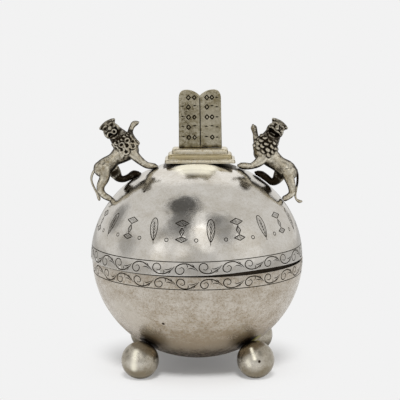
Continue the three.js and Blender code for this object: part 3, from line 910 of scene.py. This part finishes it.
# %% Collar
COLLAR_SILVER = silver("dark_collar", "#7a7164", "#40382f", tarnish=0.6, rough=0.45, blotch=22,
                       zones=[(50, 60.4, 1.2, 0.9)])
profile = [(53.0, -5), (53.3, -1), (52.6, 0.6), (52.5, 3.4), (52.3, 3.6), (51.9, 3.6), (51.7, 3.4),
           (51.8, 0.3), (52.5, -1.3), (52.2, -5)]
bm = turned([(r, z + SEAM_Z) for r, z in profile])
finished(bm, "collar_strip", "box_base", [COLLAR_SILVER], ["bowl_collar"])

# %% [markdown]
# ## Ball feet
# Each foot is a hollow ball, made of two small domes soldered together, worn flat where it
# stands and pushed against the bowl while the solder ran. The points that would be inside the
# bowl are moved to its surface, which gives the saddle of the joint. Both front feet carry painted
# highlights: streaks of matt cream that the lamps light, and spots of clean silver. The feet are
# darker towards the bottom.


# %% Feet
def keep_outside(bm, half, seat_z, gap):
    """Points inside half of the ball move straight out from its middle to its surface."""
    wide, tall = half["radius"] + gap, abs(half["height"]) + gap
    for v in bm.verts:
        x, y, z = v.co.x, v.co.y, v.co.z - seat_z
        share = math.sqrt((x / wide) ** 2 + (y / wide) ** 2 + (z / tall) ** 2)
        if z * half["height"] >= 0 and share < 1:
            v.co = Vector((x / share, y / share, z / share + seat_z))


# painted highlights on the front feet: streaks of matt cream that the lamps light
PAINTED_FOOT_HIGHLIGHTS = [
    *streak((-31.0, -35.6, 15.8), (-32.2, -37.1, 7.4), 0.3, 2.6, 0.75),
    *streak((27.2, -33.2, 16.8), (28.9, -36.4, 12.2), 0.1, 1.5, 0.9),
    *streak((25.6, -35.2, 10.6), (26.2, -35.7, 8.8), 0.3, 1.9, 0.55),
]
FOOT_SILVER = silver(
    "polished_ball_silver", "#f8f4ea", "#857b68", tarnish=0.1, rough=0.2, blotch=9, hammer=0.03,
    zones=[(0, 20, 1, 0.66), (0, 3, 8, 0.3)],
    places=[((31.3, -36.6, 10.9), 0.4, 1.1, 0.9), *((joint, 4.4, 8.2, 0.9) for joint in JOINTS)],
    # spots worn clean and cream streaks: painted highlights on the front feet
    rubbed_and_highlit=[((-31.5, -37, 11), 2, 7, 0.35), ((28.5, -36.5, 10), 2, 7, 0.35)], painted_highlights=PAINTED_FOOT_HIGHLIGHTS,
    paste=[((31, -26.4, 18), 0.4, 1.8, 0.8)],
)
for node, middle in zip(FEET, BALLS_OF_FEET):
    bm = bmesh.new()
    bmesh.ops.create_uvsphere(bm, u_segments=72, v_segments=44, radius=FOOT_RADIUS)
    bmesh.ops.translate(bm, verts=bm.verts, vec=middle)
    for v in bm.verts:
        v.co.z = max(v.co.z, 0)
    keep_outside(bm, BOWL, SEAM_Z, gap=0.04)
    finished(bm, "ball_" + node, "box_base", [FOOT_SILVER], [node])

# %% [markdown]
# ## The plinth
# Three cast plates, each smaller than the one below and rounded along its upper edges, stand on
# the crown of the lid. The middle plate is browner towards its foot. The plates are cut into
# small faces, so that the lowest one can follow the crown.

# %% Plinth
PLINTH_SILVER = silver("cast_plinth_silver", "#e9e2d1", "#c2b48f", tarnish=0.35, rough=0.24, blotch=7,
                       zones=[(110.4, 112.2, 0.3, 0.7)])
PLATE_CELL = 1.2
PLATES = {
    # width, depth, foot, top, rounding
    "lower": (36.4, 18.5, 108.05, 110.15, 1.4),
    "middle": (33.2, 14.9, 110.2, 112.6, 1.6),
    "upper": (29.2, 11.2, 112.65, 115.3, 1.8),
}
for name, (width, depth, low, high, rounding) in PLATES.items():
    bm = bmesh.new()
    bmesh.ops.create_cube(bm, size=1)
    bmesh.ops.scale(bm, verts=bm.verts, vec=(width, depth, high - low))
    bmesh.ops.translate(bm, verts=bm.verts, vec=(PLINTH_X, 0, (low + high) / 2))
    rounded = {"offset_type": "OFFSET", "affect": "EDGES", "profile": 0.5, "material": -1}
    upright = [e for e in bm.edges if abs(e.verts[0].co.z - e.verts[1].co.z) > 1]
    bmesh.ops.bevel(bm, geom=upright, offset=2, segments=6, **rounded)
    upper = [e for e in bm.edges if min(v.co.z for v in e.verts) > high - 0.01]
    bmesh.ops.bevel(bm, geom=upper, offset=rounding, segments=7, **rounded)
    for middle, size, way in ((PLINTH_X, width, (1, 0, 0)), (0, depth, (0, 1, 0))):
        for at in np.arange(PLATE_CELL - size / 2, size / 2, PLATE_CELL):
            everything = bm.verts[:] + bm.edges[:] + bm.faces[:]
            place = Vector(way) * (middle + at)
            bmesh.ops.bisect_plane(bm, geom=everything, dist=1e-5, plane_co=place, plane_no=way)
    keep_outside(bm, LID, LID_Z, gap=0.1)
    finished(bm, f"cast_{name}_step", "box_lid", [PLINTH_SILVER],
             [f"plinth_{name}_step"])

# %% [markdown]
# ## The tablets
# The two tablets of the law are one casting with two round heads and a groove between them.
# Each side carries five rows of short cuts, here plain lozenges and bars. The front is an
# engraver's sheet like the ball's, and its edge is drawn back in rings to round it over and
# close the casting.

# %% Outline and cuts of the tablets
TABLETS = {"foot": 22.3, "head": 21.8, "thick": 4, "tall": 29.9, "shoulder": 4.6, "notch": 3.05,
           "edge": 0.8, "lean": math.radians(0.7), "place": (PLINTH_X + 0.2, 0, 115.38)}


def arc(start, control, end):
    a, b, c = (np.array(p, float) for p in (start, control, end))
    t = np.linspace(0, 1, 10)[:-1, None]
    return a * (1 - t) ** 2 + 2 * b * t * (1 - t) + c * t**2


def tablet_outline():
    w, h, n = TABLETS["head"] / 2, TABLETS["tall"], TABLETS["notch"]
    foot, side = (TABLETS["foot"] / 2, 0), (w, h - TABLETS["shoulder"])
    right = np.vstack([np.linspace((0, 0), foot, 8)[:-1], np.linspace(foot, side, 18)[:-1],
                       arc(side, (w, h), (w - 3.9, h)), arc((w - 3.9, h), (n, h), (0, h - n))])
    return np.vstack([right, [[0, h - n]], right[1:][::-1] * (-1, 1)])


def inset(outline, distance):
    """The outline moved inward, square to its own run."""
    along = np.roll(outline, -1, 0) - np.roll(outline, 1, 0)
    along /= np.linalg.norm(along, axis=1, keepdims=True)
    return outline + np.stack([-along[:, 1], along[:, 0]], 1) * distance


def bar(x, z, long):
    return cut([(x - long / 2, z), (x, z + 0.05), (x + long / 2, z)], 0.38)


def small_lozenge(x, z, wide=2.1, tall=2.4):
    return closed(lozenge_outline(x, z, wide, tall), 0.34)


def tablet_cuts():
    top = TABLETS["tall"] - TABLETS["notch"] - 0.9
    cuts = [cut(smooth([(0, top), (0.05, 14), (0, 0.9)], 12), 0.27)]
    for row, z in enumerate((26.0, 21.1, 15.9, 10.7, 5.4)):
        if row:
            cuts.append(bar(-9.2 + 0.1 * row, z + 0.5, 1.3))
        cuts.append(small_lozenge(-5.9, z))
        cuts.append(bar(-2.8, z + 0.7, 1.7) if row % 2 else small_lozenge(-2.9, z, 1.8, 2.1))
        cuts.append(small_lozenge(3.6, z) if row < 3 else bar(3.2, z + 0.4, 1.6))
        cuts.append(bar(6.2, z + 0.6, 1.4) if row % 2 else small_lozenge(6.2, z, 1.9, 2.2))
        cuts.append(bar(8.7, z, 1.3))
    return cuts


# %% Tablets
TABLET_SILVER = silver(
    "cast_tablet_silver", "#cbc4af", "#8d8366", tarnish=0.6, rough=0.3, blotch=6, dark="#3a2f22",
    grain=0.7, zones=[(112, 116.4, 1.6, 0.5)],
    places=[*(((x, -3, 115.6), 0.5, reach, 0.75) for x, reach in
              ((-8, 2.8), (-3, 2.2), (3.5, 3.2), (9.5, 3.6))),
            ((-5, -2, 133), 3, 10, 0.3), ((-5, -2, 124), 3, 9, 0.26)],
    # the right tablet is cleaner and brighter towards its head
    rubbed_and_highlit=[((6.5, -2, 131), 2, 9, 0.7), ((7, -2, 122), 1, 6, 0.6)],
)
edge, half = TABLETS["edge"], TABLETS["thick"] / 2
outline = tablet_outline()
ring_before = inset(outline, edge)
flat, sink, faces, grooved = engraved_sheet(ring_before, tablet_cuts(), spacing=1.3, depth=0.3)
bm = bmesh.new()
add_faces(bm, [(x, s - half, z) for (x, z), s in zip(flat, sink)], faces, grooved)
rim = [e for e in bm.edges if e.is_boundary]
quarter = [math.radians(22.5 * k) for k in range(5)]
bend = [(edge * (1 - math.sin(a)), edge * (1 - math.cos(a)) - half) for a in quarter]
for shrink, depth in bend[1:] + [(shrink, -depth) for shrink, depth in bend[::-1]]:
    made = bmesh.ops.extrude_edge_only(bm, edges=rim)["geom"]
    ring_at = inset(outline, shrink)
    for v in (g for g in made if isinstance(g, bmesh.types.BMVert)):
        i = np.argmin(np.hypot(ring_before[:, 0] - v.co.x, ring_before[:, 1] - v.co.z))
        v.co = Vector((ring_at[i][0], depth, ring_at[i][1]))
    rim = [g for g in made if isinstance(g, bmesh.types.BMEdge) and g.is_boundary]
    ring_before = ring_at
bmesh.ops.holes_fill(bm, edges=rim, sides=0)
leaned = Matrix.Rotation(-TABLETS["lean"], 3, "Y")
bmesh.ops.rotate(bm, verts=bm.verts, cent=(0, 0, 0), matrix=leaned)
bmesh.ops.translate(bm, verts=bm.verts, vec=TABLETS["place"])
finished(bm, "cast_tablets", "box_lid", [TABLET_SILVER, CUT_SILVER], ["tablets"])

# %% [markdown]
# ## The lions
# The lions were modelled in wax, cast, and chased with small punches. Wax is pressed on in
# pellets, and so it is here: beads of every size run along the limbs, locks and features, then a
# voxel remesh melts them into one skin and a little smoothing does what the polishing did. The
# poses are the CAD source's own knots: outward, back, up, half height and half width. Only the
# necks end thinner here, which leaves room for the open mouths.

# %% Lion knots
LION_RIGHT = {
    "trunk": [(34.2, 0, 113.6, 5.6, 4.5), (38.2, 0, 109.8, 4.7, 4), (42, 0, 106.7, 4, 3.5),
              (46, 0, 103.9, 4.6, 3.9), (48, 0, 102.2, 4, 3.8)],
    "neck": [(34.4, 0, 114.2, 5.8, 4.6), (37.2, -0.2, 118.8, 4.9, 4.2), (39.6, 0.9, 123, 3.8, 2.4)],
    "planted": [(34.2, -2, 110.4, 3, 2.2), (31, -2.4, 107.4, 2.1), (27.8, -2.6, 105.9, 1.5),
                (24.8, -2.6, 105.9, 1.7), (22.7, -2.6, 106.1, 1.5)],
    "raised": [(32.4, 1, 115.4, 2.6, 2.4), (30.6, 1.3, 119, 1.6), (30, 1.3, 122.2, 1.2),
               (29.4, 1, 124.6, 1.4), (29.2, 0.8, 125.3, 1.5)],
    "near_hind": [(46.9, -2.2, 103.6, 3.8, 2.2), (47.4, -2.7, 100, 2.6, 2.2), (48.6, -3, 96.3, 2),
                  (49.1, -3, 93.2, 1.7), (48.6, -3, 91.2, 1.5), (47, -3, 89.9, 1.4),
                  (45.4, -2.8, 89, 1.4)],
    "far_hind": [(44.6, 2.4, 104.6, 3.6, 2.2), (42.9, 2.9, 100.6, 3.1, 2.2), (41, 3, 97.6, 2.1),
                 (38.6, 3, 96.9, 1.7), (35.7, 3, 99, 1.8), (33.4, 3, 100.6, 1.8),
                 (31.6, 3, 101.3, 1.4)],
    "mane": [(34.6, -0.2, 113.2, 5.6, 4.4, 0.6), (35.6, -0.2, 116.2, 5.3, 4.3, 0.55),
             (37.2, -0.3, 119.4, 4.5, 4, 0.5)],
    "head": (40.9, -1.2, 125.4),
    "tail": [(51.2, 0.4, 103.4, 0.9), (52, 0.6, 100.6, 0.7), (52, 0.6, 97, 0.65),
             (51.4, 0.6, 93, 0.6), (51, 0.4, 89.8, 0.6), (51.6, 0.2, 88, 0.6), (53, 0, 87, 0.9),
             (54.2, 0, 87, 0.6)],
}
LION_LEFT = {
    "trunk": [(35.9, 0, 115.2, 6.3, 4.6), (39.6, 0, 111.9, 4.7, 4), (43.4, 0, 109, 3.4, 3.4),
              (47.2, 0, 106.2, 4, 3.7), (49.9, 0, 103.9, 4.2, 3.8)],
    "neck": [(35.8, 0, 115.6, 5.6, 4.6), (39.8, -0.2, 119.6, 4.9, 4.2), (43, 0.9, 123, 3.8, 2.4)],
    "planted": [(34.6, -2, 113.6, 3, 2.4), (33, -2.3, 111.9, 2.5, 2.2), (29.9, -2.6, 108.9, 1.9),
                (26.5, -2.7, 106.5, 1.6), (24.1, -2.7, 106, 1.5), (22.4, -2.7, 105.9, 1.3)],
    "raised": [(33.6, 1, 116.8, 2.6, 2.4), (34.6, 1.2, 120.6, 1.8), (34.9, 1.2, 123, 1.3),
               (34.1, 1, 125.6, 1.15), (32.9, 0.9, 127.4, 1.35), (31.7, 0.8, 127.9, 1.1)],
    "near_hind": [(48.4, -2.2, 105.6, 3.4, 2.3), (48.1, -2.6, 102.9, 2.9, 2.2),
                  (48.3, -2.8, 99.5, 2.5, 2.1), (50, -3, 96, 2), (50.2, -3, 93.2, 1.8),
                  (48.8, -3, 90.9, 1.6), (47, -3, 89.7, 1.5), (45.5, -2.9, 88.9, 1.3)],
    "far_hind": [(45.4, 2.4, 105, 3.6, 2.2), (43.1, 2.8, 101.8, 3.0, 2.2), (41.1, 3, 98.9, 1.9),
                 (38.7, 3, 98.3, 1.6), (35.9, 3, 99.3, 1.6), (33.3, 3, 100.9, 1.8),
                 (31.4, 3, 101.1, 1.4)],
    "mane": [(35.8, -0.2, 114.6, 5.5, 4.4, 0.7), (37.6, -0.2, 117.2, 5.2, 4.3, 0.65),
             (40, -0.3, 119.8, 4.6, 4, 0.6)],
    "head": (45, -1.2, 125.2),
    "tail": [(52.4, 0.6, 104.6, 0.9), (54.4, 1.2, 101.8, 0.75), (55.3, 1.6, 99, 0.65),
             (54.9, 1.6, 96.4, 0.6), (53.4, 1.4, 93, 0.6), (52.2, 1.2, 90.6, 0.7),
             (51.5, 1, 88.8, 0.95), (51.3, 1, 87.8, 0.7)],
}
HEAD_COCK = math.radians(34)
LEGS = ("planted", "raised", "near_hind", "far_hind")
SWELL = 0.22  # the polished castings are a little stouter than the solids' limbs
print("knots of the legs", [sum(len(pose[leg]) for leg in LEGS) for pose in (LION_RIGHT, LION_LEFT)])

# %% [markdown]
# A bead is a small ball stretched to the limb's section and turned along its path. The beads
# overlap by most of their width, so the melted limb is smooth. There are thousands of them, so
# they are gathered as plain points and faces of one ball and joined only once, for the remesh.


# %% Wax beads
def ball_points(subdivisions):
    bm = bmesh.new()
    bmesh.ops.create_icosphere(bm, subdivisions=subdivisions, radius=1)
    bm.verts.ensure_lookup_table()
    points = np.array([v.co[:] for v in bm.verts])
    faces = np.array([[v.index for v in f.verts] for f in bm.faces])
    bm.free()
    return points, faces


SMALL_BALL, LARGE_BALL = ball_points(2), ball_points(3)
print("points of a bead", len(SMALL_BALL[0]), "or", len(LARGE_BALL[0]))


def path_table(knots):
    """The smoothed knots, and how far along the path each of them is."""
    dense = smooth(knots, 12)
    steps = np.linalg.norm(np.diff(dense[:, :3], axis=0), axis=1)
    return dense, np.concatenate([[0], np.cumsum(steps)])


def read_off(table, at, gone):
    """All the table's columns at a distance along its path."""
    return np.array([np.interp(at, gone, column) for column in table.T])


def limb(wax, side, knots, overlap=0.3, swell=0.0):
    """Lays a run of beads along the knots; wax is the list that gathers them."""
    knots = np.array([k if len(k) == 5 else [*k, k[3]] for k in knots], float)
    knots[:, 0] *= side
    dense, gone = path_table(knots)
    tangents = np.gradient(dense[:, :3], axis=0)
    at = 0.0
    while True:
        at = min(at, gone[-1])
        *place, tall, wide = read_off(dense, at, gone)
        tall, wide = tall + swell, wide + swell
        along = read_off(tangents, at, gone)
        along /= np.linalg.norm(along)
        across = np.array([0.0, 1, 0]) if abs(along[1]) < 0.9 else np.array([1.0, 0, 0])
        across -= along * across.dot(along)
        across /= np.linalg.norm(across)
        up = np.cross(along, across)
        points, faces = LARGE_BALL if min(tall, wide) > 2 else SMALL_BALL
        points = points @ np.stack([along * min(tall, wide), across * wide, up * tall])
        wax.append((points + place, faces))
        if at >= gone[-1]:
            return
        at += overlap * min(tall, wide)


# %% One skin
def melted(wax, voxel, rubs):
    """All the beads as one skin."""
    starts = np.cumsum([0] + [len(points) for points, _ in wax])
    rough = bpy.data.meshes.new("wax")
    points = np.vstack([points for points, _ in wax])
    faces = np.vstack([faces + start for (_, faces), start in zip(wax, starts)])
    rough.from_pydata(points.tolist(), [], faces.tolist())
    thing = put("wax", rough)
    remesh = thing.modifiers.new("melt", "REMESH")
    remesh.mode = "VOXEL"
    remesh.voxel_size = voxel
    view = thing.evaluated_get(bpy.context.evaluated_depsgraph_get())
    bm = bmesh.new()
    bm.from_mesh(view.to_mesh())
    bpy.data.objects.remove(thing)
    bpy.data.meshes.remove(rough)
    for _ in range(rubs):
        axes = {"use_axis_x": True, "use_axis_y": True, "use_axis_z": True}
        bmesh.ops.smooth_vert(bm, verts=bm.verts, factor=0.5, **axes)
    return bm


def paw(wax, side, knots):
    """Three toes at the end of a limb."""
    last, before = np.array(knots[-1][:3]), np.array(knots[-2][:3])
    way = (last - before) / np.linalg.norm(last - before)
    girth = knots[-1][3] + SWELL
    for k in (-1, 0, 1):
        toe = last + np.array([0, k * girth * 0.62, 0]) + way * girth * 0.35
        tip = toe + way * girth * 0.55
        limb(wax, side, [(*toe, girth * 0.5), (*tip, girth * 0.4)], overlap=0.4)


# %% [markdown]
# The head is turned to the viewer with its crown cocked outward. Its features are laid on in
# their order: skull, crown, muzzle, nose, lip and jaw, then a brow, an eye in its ring, a cheek and
# an ear on each side, the mouth, and a few short locks under the jaw. The right lion roars with its
# tongue out. The left one's mouth is a round punched ring.


# %% Head
def face_frame(spot):
    """Turns a place on the face (across, rise, forward) into one in the lion's own frame."""
    out0, back0, up0 = spot
    c, s = math.cos(HEAD_COCK), math.sin(HEAD_COCK)

    def knot(across, rise, forward, tall=1, wide=None):
        out = out0 + across * c + rise * s - forward * 0.12
        up = up0 - across * s + rise * c - forward * 0.12
        return out, back0 - forward, up, tall, wide or tall

    return knot


def circle(across, rise, forward, reach, thick):
    turns = [2 * math.pi * k / 10 for k in range(11)]
    return [(across + reach * math.cos(t), rise + reach * math.sin(t), forward, thick) for t in turns]


def head(wax, side, knot, roars):
    def lay(*path):
        limb(wax, side, [knot(*k) for k in path], overlap=0.35)

    lay((0, 0.3, -1.8, 3.4, 3.6), (0, 1.2, 0.3, 2.9, 3.2))
    lay((-3.0, 2.9, -0.4, 1.2), (0, 3.5, 0.2, 1.2), (3.0, 2.9, -0.4, 1.2))
    lay((-0.2, 1.3, 1.2, 1.5, 1.3), (-0.2, 1.1, 3.4, 1.45, 1.2))
    lay((-0.3, 3.3, 1.9, 0.6), (-0.5, 2.5, 2.9, 0.55))
    lay((-2.4, -3.9, 1.3, 0.6), (-0.9, -4.5, 2.3, 0.62), (0.9, -4.5, 2.3, 0.62), (2.6, -3.8, 1.5, 0.6),
        (3.5, -2.3, 1.1, 0.5))
    lay((-1.6, -3.8, -0.5, 1.2), (0, -4.3, -0.2, 1.3), (1.8, -3.6, -0.5, 1.2))
    for way in (-1, 1):
        lay((way * 0.9, 2.8, 2.7, 0.5), (way * 2.1, 2.9, 2.4, 0.55), (way * 3.6, 1.9, 1.4, 0.5))
        lay(*circle(way * 2.75, 1.1, 2.2, 0.8, 0.3))
        lay((way * 2.7, 1.1, 1.6, 0.42), (way * 2.75, 1.1, 2.3, 0.4))
        lay((way * 3.3, 0.3, 0.9, 0.9), (way * 3.6, -1.8, 0.4, 1.0), (way * 2.9, -3.4, 0.2, 0.9))
        lay((way * 3.3, 2.4, 0, 1.1), (way * 3.9, 2.9, 0.2, 0.95), (way * 4.25, 3.0, 0.4, 0.7))
    if roars:
        lay((-3.6, -1.3, 1.5, 0.5), (-2.2, -0.2, 2.7, 0.55), (0, -0.5, 3.3, 0.6), (2.2, -0.7, 2.7, 0.55),
            (3.5, -1.8, 1.5, 0.5))
        lay((-1.3, -3.1, 1.8, 0.42), (0.5, -2.9, 2.3, 0.48))
    else:
        lay(*circle(-0.9, -1.7, 2.7, 1.1, 0.42))
        lay((-0.9, -0.9, 1.2, 0.7), (-0.9, -0.6, 2.6, 0.5))
        lay((0.6, -1.0, 2.4, 0.5), (2.2, -0.9, 2.0, 0.5), (3.3, -2.0, 1.4, 0.5))
        lay((0.4, -3.2, 2.0, 0.45), (2.0, -3.1, 1.8, 0.45))
    for k in range(7):
        angle = math.radians(-158 + k * 22)
        c, s = math.cos(angle), math.sin(angle)
        lay((3.3 * c, 3.4 * s - 0.9, 0.3, 0.7), (3.9 * c, 4.2 * s - 1.1, 0.2, 0.75),
            (4.2 * c, 4.8 * s - 1.5, -0.5, 0.4))


# %% [markdown]
# The mane hangs in rows, each row half a lock on from the one above. The right lion's locks are
# plump scales. The left one's were chased into rings with deep dark middles, open towards the top
# in most rows.

# %% Mane
ROW_RISE = 2.2
SCALE = [(-0.4, -1, -0.85, 0.55), (0.1, -0.5, -0.4, 0.95), (0.15, 0.5, 0.4, 0.95), (-0.4, 1, 0.85, 0.55)]


def mane(wax, side, knots, rings):
    """Rows of locks; a knot's last value is the mane's lean outward there, in radians."""
    rng = random.Random(3)
    dense, gone = path_table(knots)
    for row, place in enumerate(np.arange(0, gone[-1] + 0.8, ROW_RISE)):
        out, back, up, tall, wide, lean = read_off(dense, place, gone)
        locks = round((tall + wide) * math.pi / (3.3 if rings else 2.75))
        for i in range(locks):
            angle = (i + (row % 2) / 2 + rng.uniform(-0.12, 0.12)) / locks * 2 * math.pi

            def at(reach, drop, aside):
                turn = angle + aside * 2 / (tall + wide)
                far = math.cos(turn) * tall * reach
                return (
                    out + far * math.cos(lean) - drop * math.sin(lean),
                    back + math.sin(turn) * wide * reach,
                    up - far * math.sin(lean) - drop * math.cos(lean),
                )

            if rings:
                first, last = (0, 360) if row == 2 else (-25, 205)
                turns = np.radians(np.linspace(first, last, 9) + rng.uniform(-25, 25))
                reach, thick = 1.1 * rng.uniform(0.85, 1.1), 0.55 * rng.uniform(0.85, 1.15)
                loop = [(*at(1.12, 0.3 + reach * math.sin(t), reach * math.cos(t)), thick) for t in turns]
                limb(wax, side, loop, overlap=0.4)
            else:
                size = (0.7 if row == 3 else 1.0) * rng.uniform(0.82, 1.18)
                skew = rng.uniform(-0.35, 0.35)
                reaches = (1.06, 1.12, 1.12, 1.06)
                lock = [(*at(reach, drop + slip * skew, aside), thick * size)
                        for reach, (drop, slip, aside, thick) in zip(reaches, SCALE)]
                limb(wax, side, lock, overlap=0.35)


# %% [markdown]
# Soil settles where the skin is hollow. Each point is compared with a smoothed copy of the skin:
# where the copy lies above it, the point is in a hollow. Undersides get painted shade, and so do the
# edges between the front and the back, where the metal turns away. A few places are chosen, such as
# the open mouth and the ears, with painted shade on the leg on the far side, under the belly and on
# the far side of the neck. The value is kept as an attribute.

# %% Grime and painted shade
HOLLOW = 0.12  # a hollow this deep, in millimetres, is black
POLISHED = 0.65  # how much of a hollow's soil is left where the mane was rubbed as well


def fading(at, centre, inner, outer):
    away = np.linalg.norm(at - np.array(centre), axis=1)
    fade = np.clip((outer - away) / (outer - inner), 0, 1)
    return fade * fade * (3 - 2 * fade)


def spots(side, knots, inner, outer, amount, back=0, up=0):
    """A darkened place at each knot, moved back and up by the given distances."""
    return [((side * k[0], k[1] + back, k[2] + up), inner, outer, amount) for k in knots]


def soiled_and_shaded(bm, places, dull=()):
    bm.verts.ensure_lookup_table()
    bm.normal_update()
    at = np.array([v.co[:] for v in bm.verts])
    normal = np.array([v.normal[:] for v in bm.verts])
    pairs = np.array([[v.index for v in e.verts] for e in bm.edges])
    count = np.bincount(pairs.ravel(), minlength=len(at))[:, None]
    soft = at.copy()
    for _ in range(14):  # each round moves a point halfway to the mean of its neighbours
        total = np.zeros_like(soft)
        for axis in range(3):
            for near, far in ((0, 1), (1, 0)):
                total[:, axis] += np.bincount(pairs[:, near], soft[pairs[:, far], axis], len(at))
        soft = 0.5 * soft + 0.5 * total / count
    hollow = ((soft - at) * normal).sum(1) / HOLLOW
    for centre, inner, outer, amount in dull:
        hollow = np.maximum(hollow, POLISHED * hollow + amount * fading(at, centre, inner, outer))
    # painted shade on the undersides
    painted_underside_shade = 0.8 * np.clip((-normal[:, 2] - 0.1) / 0.6, 0, 1)
    # painted shade along the outline, where the metal turns away from the front and the back
    edge = 0.8 * np.clip((0.96 - np.abs(normal[:, 1])) / 0.7, 0, 1)
    level = np.clip(np.maximum(np.maximum(hollow, painted_underside_shade), edge), 0, 1)
    for centre, inner, outer, amount in places:
        level = np.maximum(level, amount * fading(at, centre, inner, outer))
    layer = bm.verts.layers.float.new("grime_and_shade")
    for v, value in zip(bm.verts, level):
        v[layer] = float(value)


# %% [markdown]
# Both lions and their tails come from the same steps. Each tail is a wire bent down from the rump,
# with a small tuft at its end.

# %% Lions and tails
LION_SILVER = silver("cast_lion_silver", "#e4dece", "#9f9277", tarnish=0.42, rough=0.17, blotch=8,
                     dark="#2a2218", grime_and_shade=True, grain=0.4)
FACE_SOIL = {
    # across, rise, forward on the face, full within, gone beyond, amount
    "roars": [*((x, -1.9, 1.2, 0.9, 1.5, 1) for x in (-2.4, -1.2, 0, 1.2, 2.4)),
              (-1.4, 0.6, 2.9, 0.25, 0.7, 1), (0.7, 0.3, 3.2, 0.25, 0.7, 1)],
    "ring": [(-0.9, -1.7, 2.2, 0.7, 1.0, 1), (1.8, -2.1, 1.4, 0.7, 1.4, 1), (-1.5, 0.4, 3.0, 0.3, 0.8, 1)],
    "both": [(-0.7, 3.4, 2.2, 0.2, 0.8, 0.9), (-4.0, 2.6, 1.1, 0.3, 1.0, 0.9),
             (4.0, 2.6, 1.1, 0.3, 1.0, 0.9), (-2.6, 2.4, 1.6, 0.6, 2.6, 0.5)],
}


def lion(way, side, pose, rings, dark_leg, dark_arm):
    wax = []
    for part in ("trunk", "neck", *LEGS):
        limb(wax, side, pose[part], swell=SWELL)
    for part in LEGS:
        paw(wax, side, pose[part])
    knot = face_frame(pose["head"])
    head(wax, side, knot, roars=not rings)
    mane(wax, side, pose["mane"], rings)
    bm = melted(wax, voxel=0.24, rubs=1)
    keep_outside(bm, LID, LID_Z, gap=0.1)
    places = []
    for *place, inner, outer, amount in FACE_SOIL["ring" if rings else "roars"] + FACE_SOIL["both"]:
        places += spots(side, [knot(*place)], inner, outer, amount)
    # painted shade on the far hind leg
    places += spots(side, pose["far_hind"][1:], 2.2, 4.0, dark_leg)
    places += spots(side, pose["raised"][1:3], 1.8, 3.2, dark_arm)
    # painted shade under the belly and on the far side of the neck
    places += spots(side, pose["trunk"][1:3], 1.5, 4.5, 0.5, back=-3, up=-3.5)
    places += spots(side, pose["neck"][:1], 3.0, 5.0, 0.7, back=4)
    soiled_and_shaded(bm, places, spots(side, [*pose["mane"][1:], pose["head"]], 4.5, 7.5, 0.6))
    finished(bm, "chased_lion_" + way, "box_lid", [LION_SILVER], ["lion_" + way],
             sharp=80)


def tail(way, side, knots, places):
    wax = []
    limb(wax, side, knots, overlap=0.35)
    bm = melted(wax, voxel=0.2, rubs=2)
    soiled_and_shaded(bm, places)
    finished(bm, "drawn_tail_" + way, "box_lid", [LION_SILVER],
             [f"lion_{way}_tail"], sharp=80)


lion("right", 1, LION_RIGHT, False, 0.95, 0.5)
lion("left", -1, LION_LEFT, True, 0.85, 0.75)
tail("right", 1, LION_RIGHT["tail"], spots(1, LION_RIGHT["tail"][:3], 1.5, 3.2, 0.95))
tail("left", -1, LION_LEFT["tail"], [])

# %% [markdown]
# ## The hinge
# The two leaves, their knuckles and the pin keep their CAD shapes and get a filed, softly
# polished silver.

# %% Hinge silver
HINGE_SILVER = silver("filed_hinge_silver", "#c9c3b8", "#97896f", tarnish=0.5, rough=0.3, blotch=6,
                      grain=0.8)
for node in ("hinge_bowl_leaf", "hinge_lid_leaf", "hinge_pin"):
    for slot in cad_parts[node].material_slots:
        slot.material = HINGE_SILVER
    print(node, "in", HINGE_SILVER.name)

# %% Size and table
low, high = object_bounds()
print("visual box", [round(v, 4) for corner in (low, high) for v in corner])
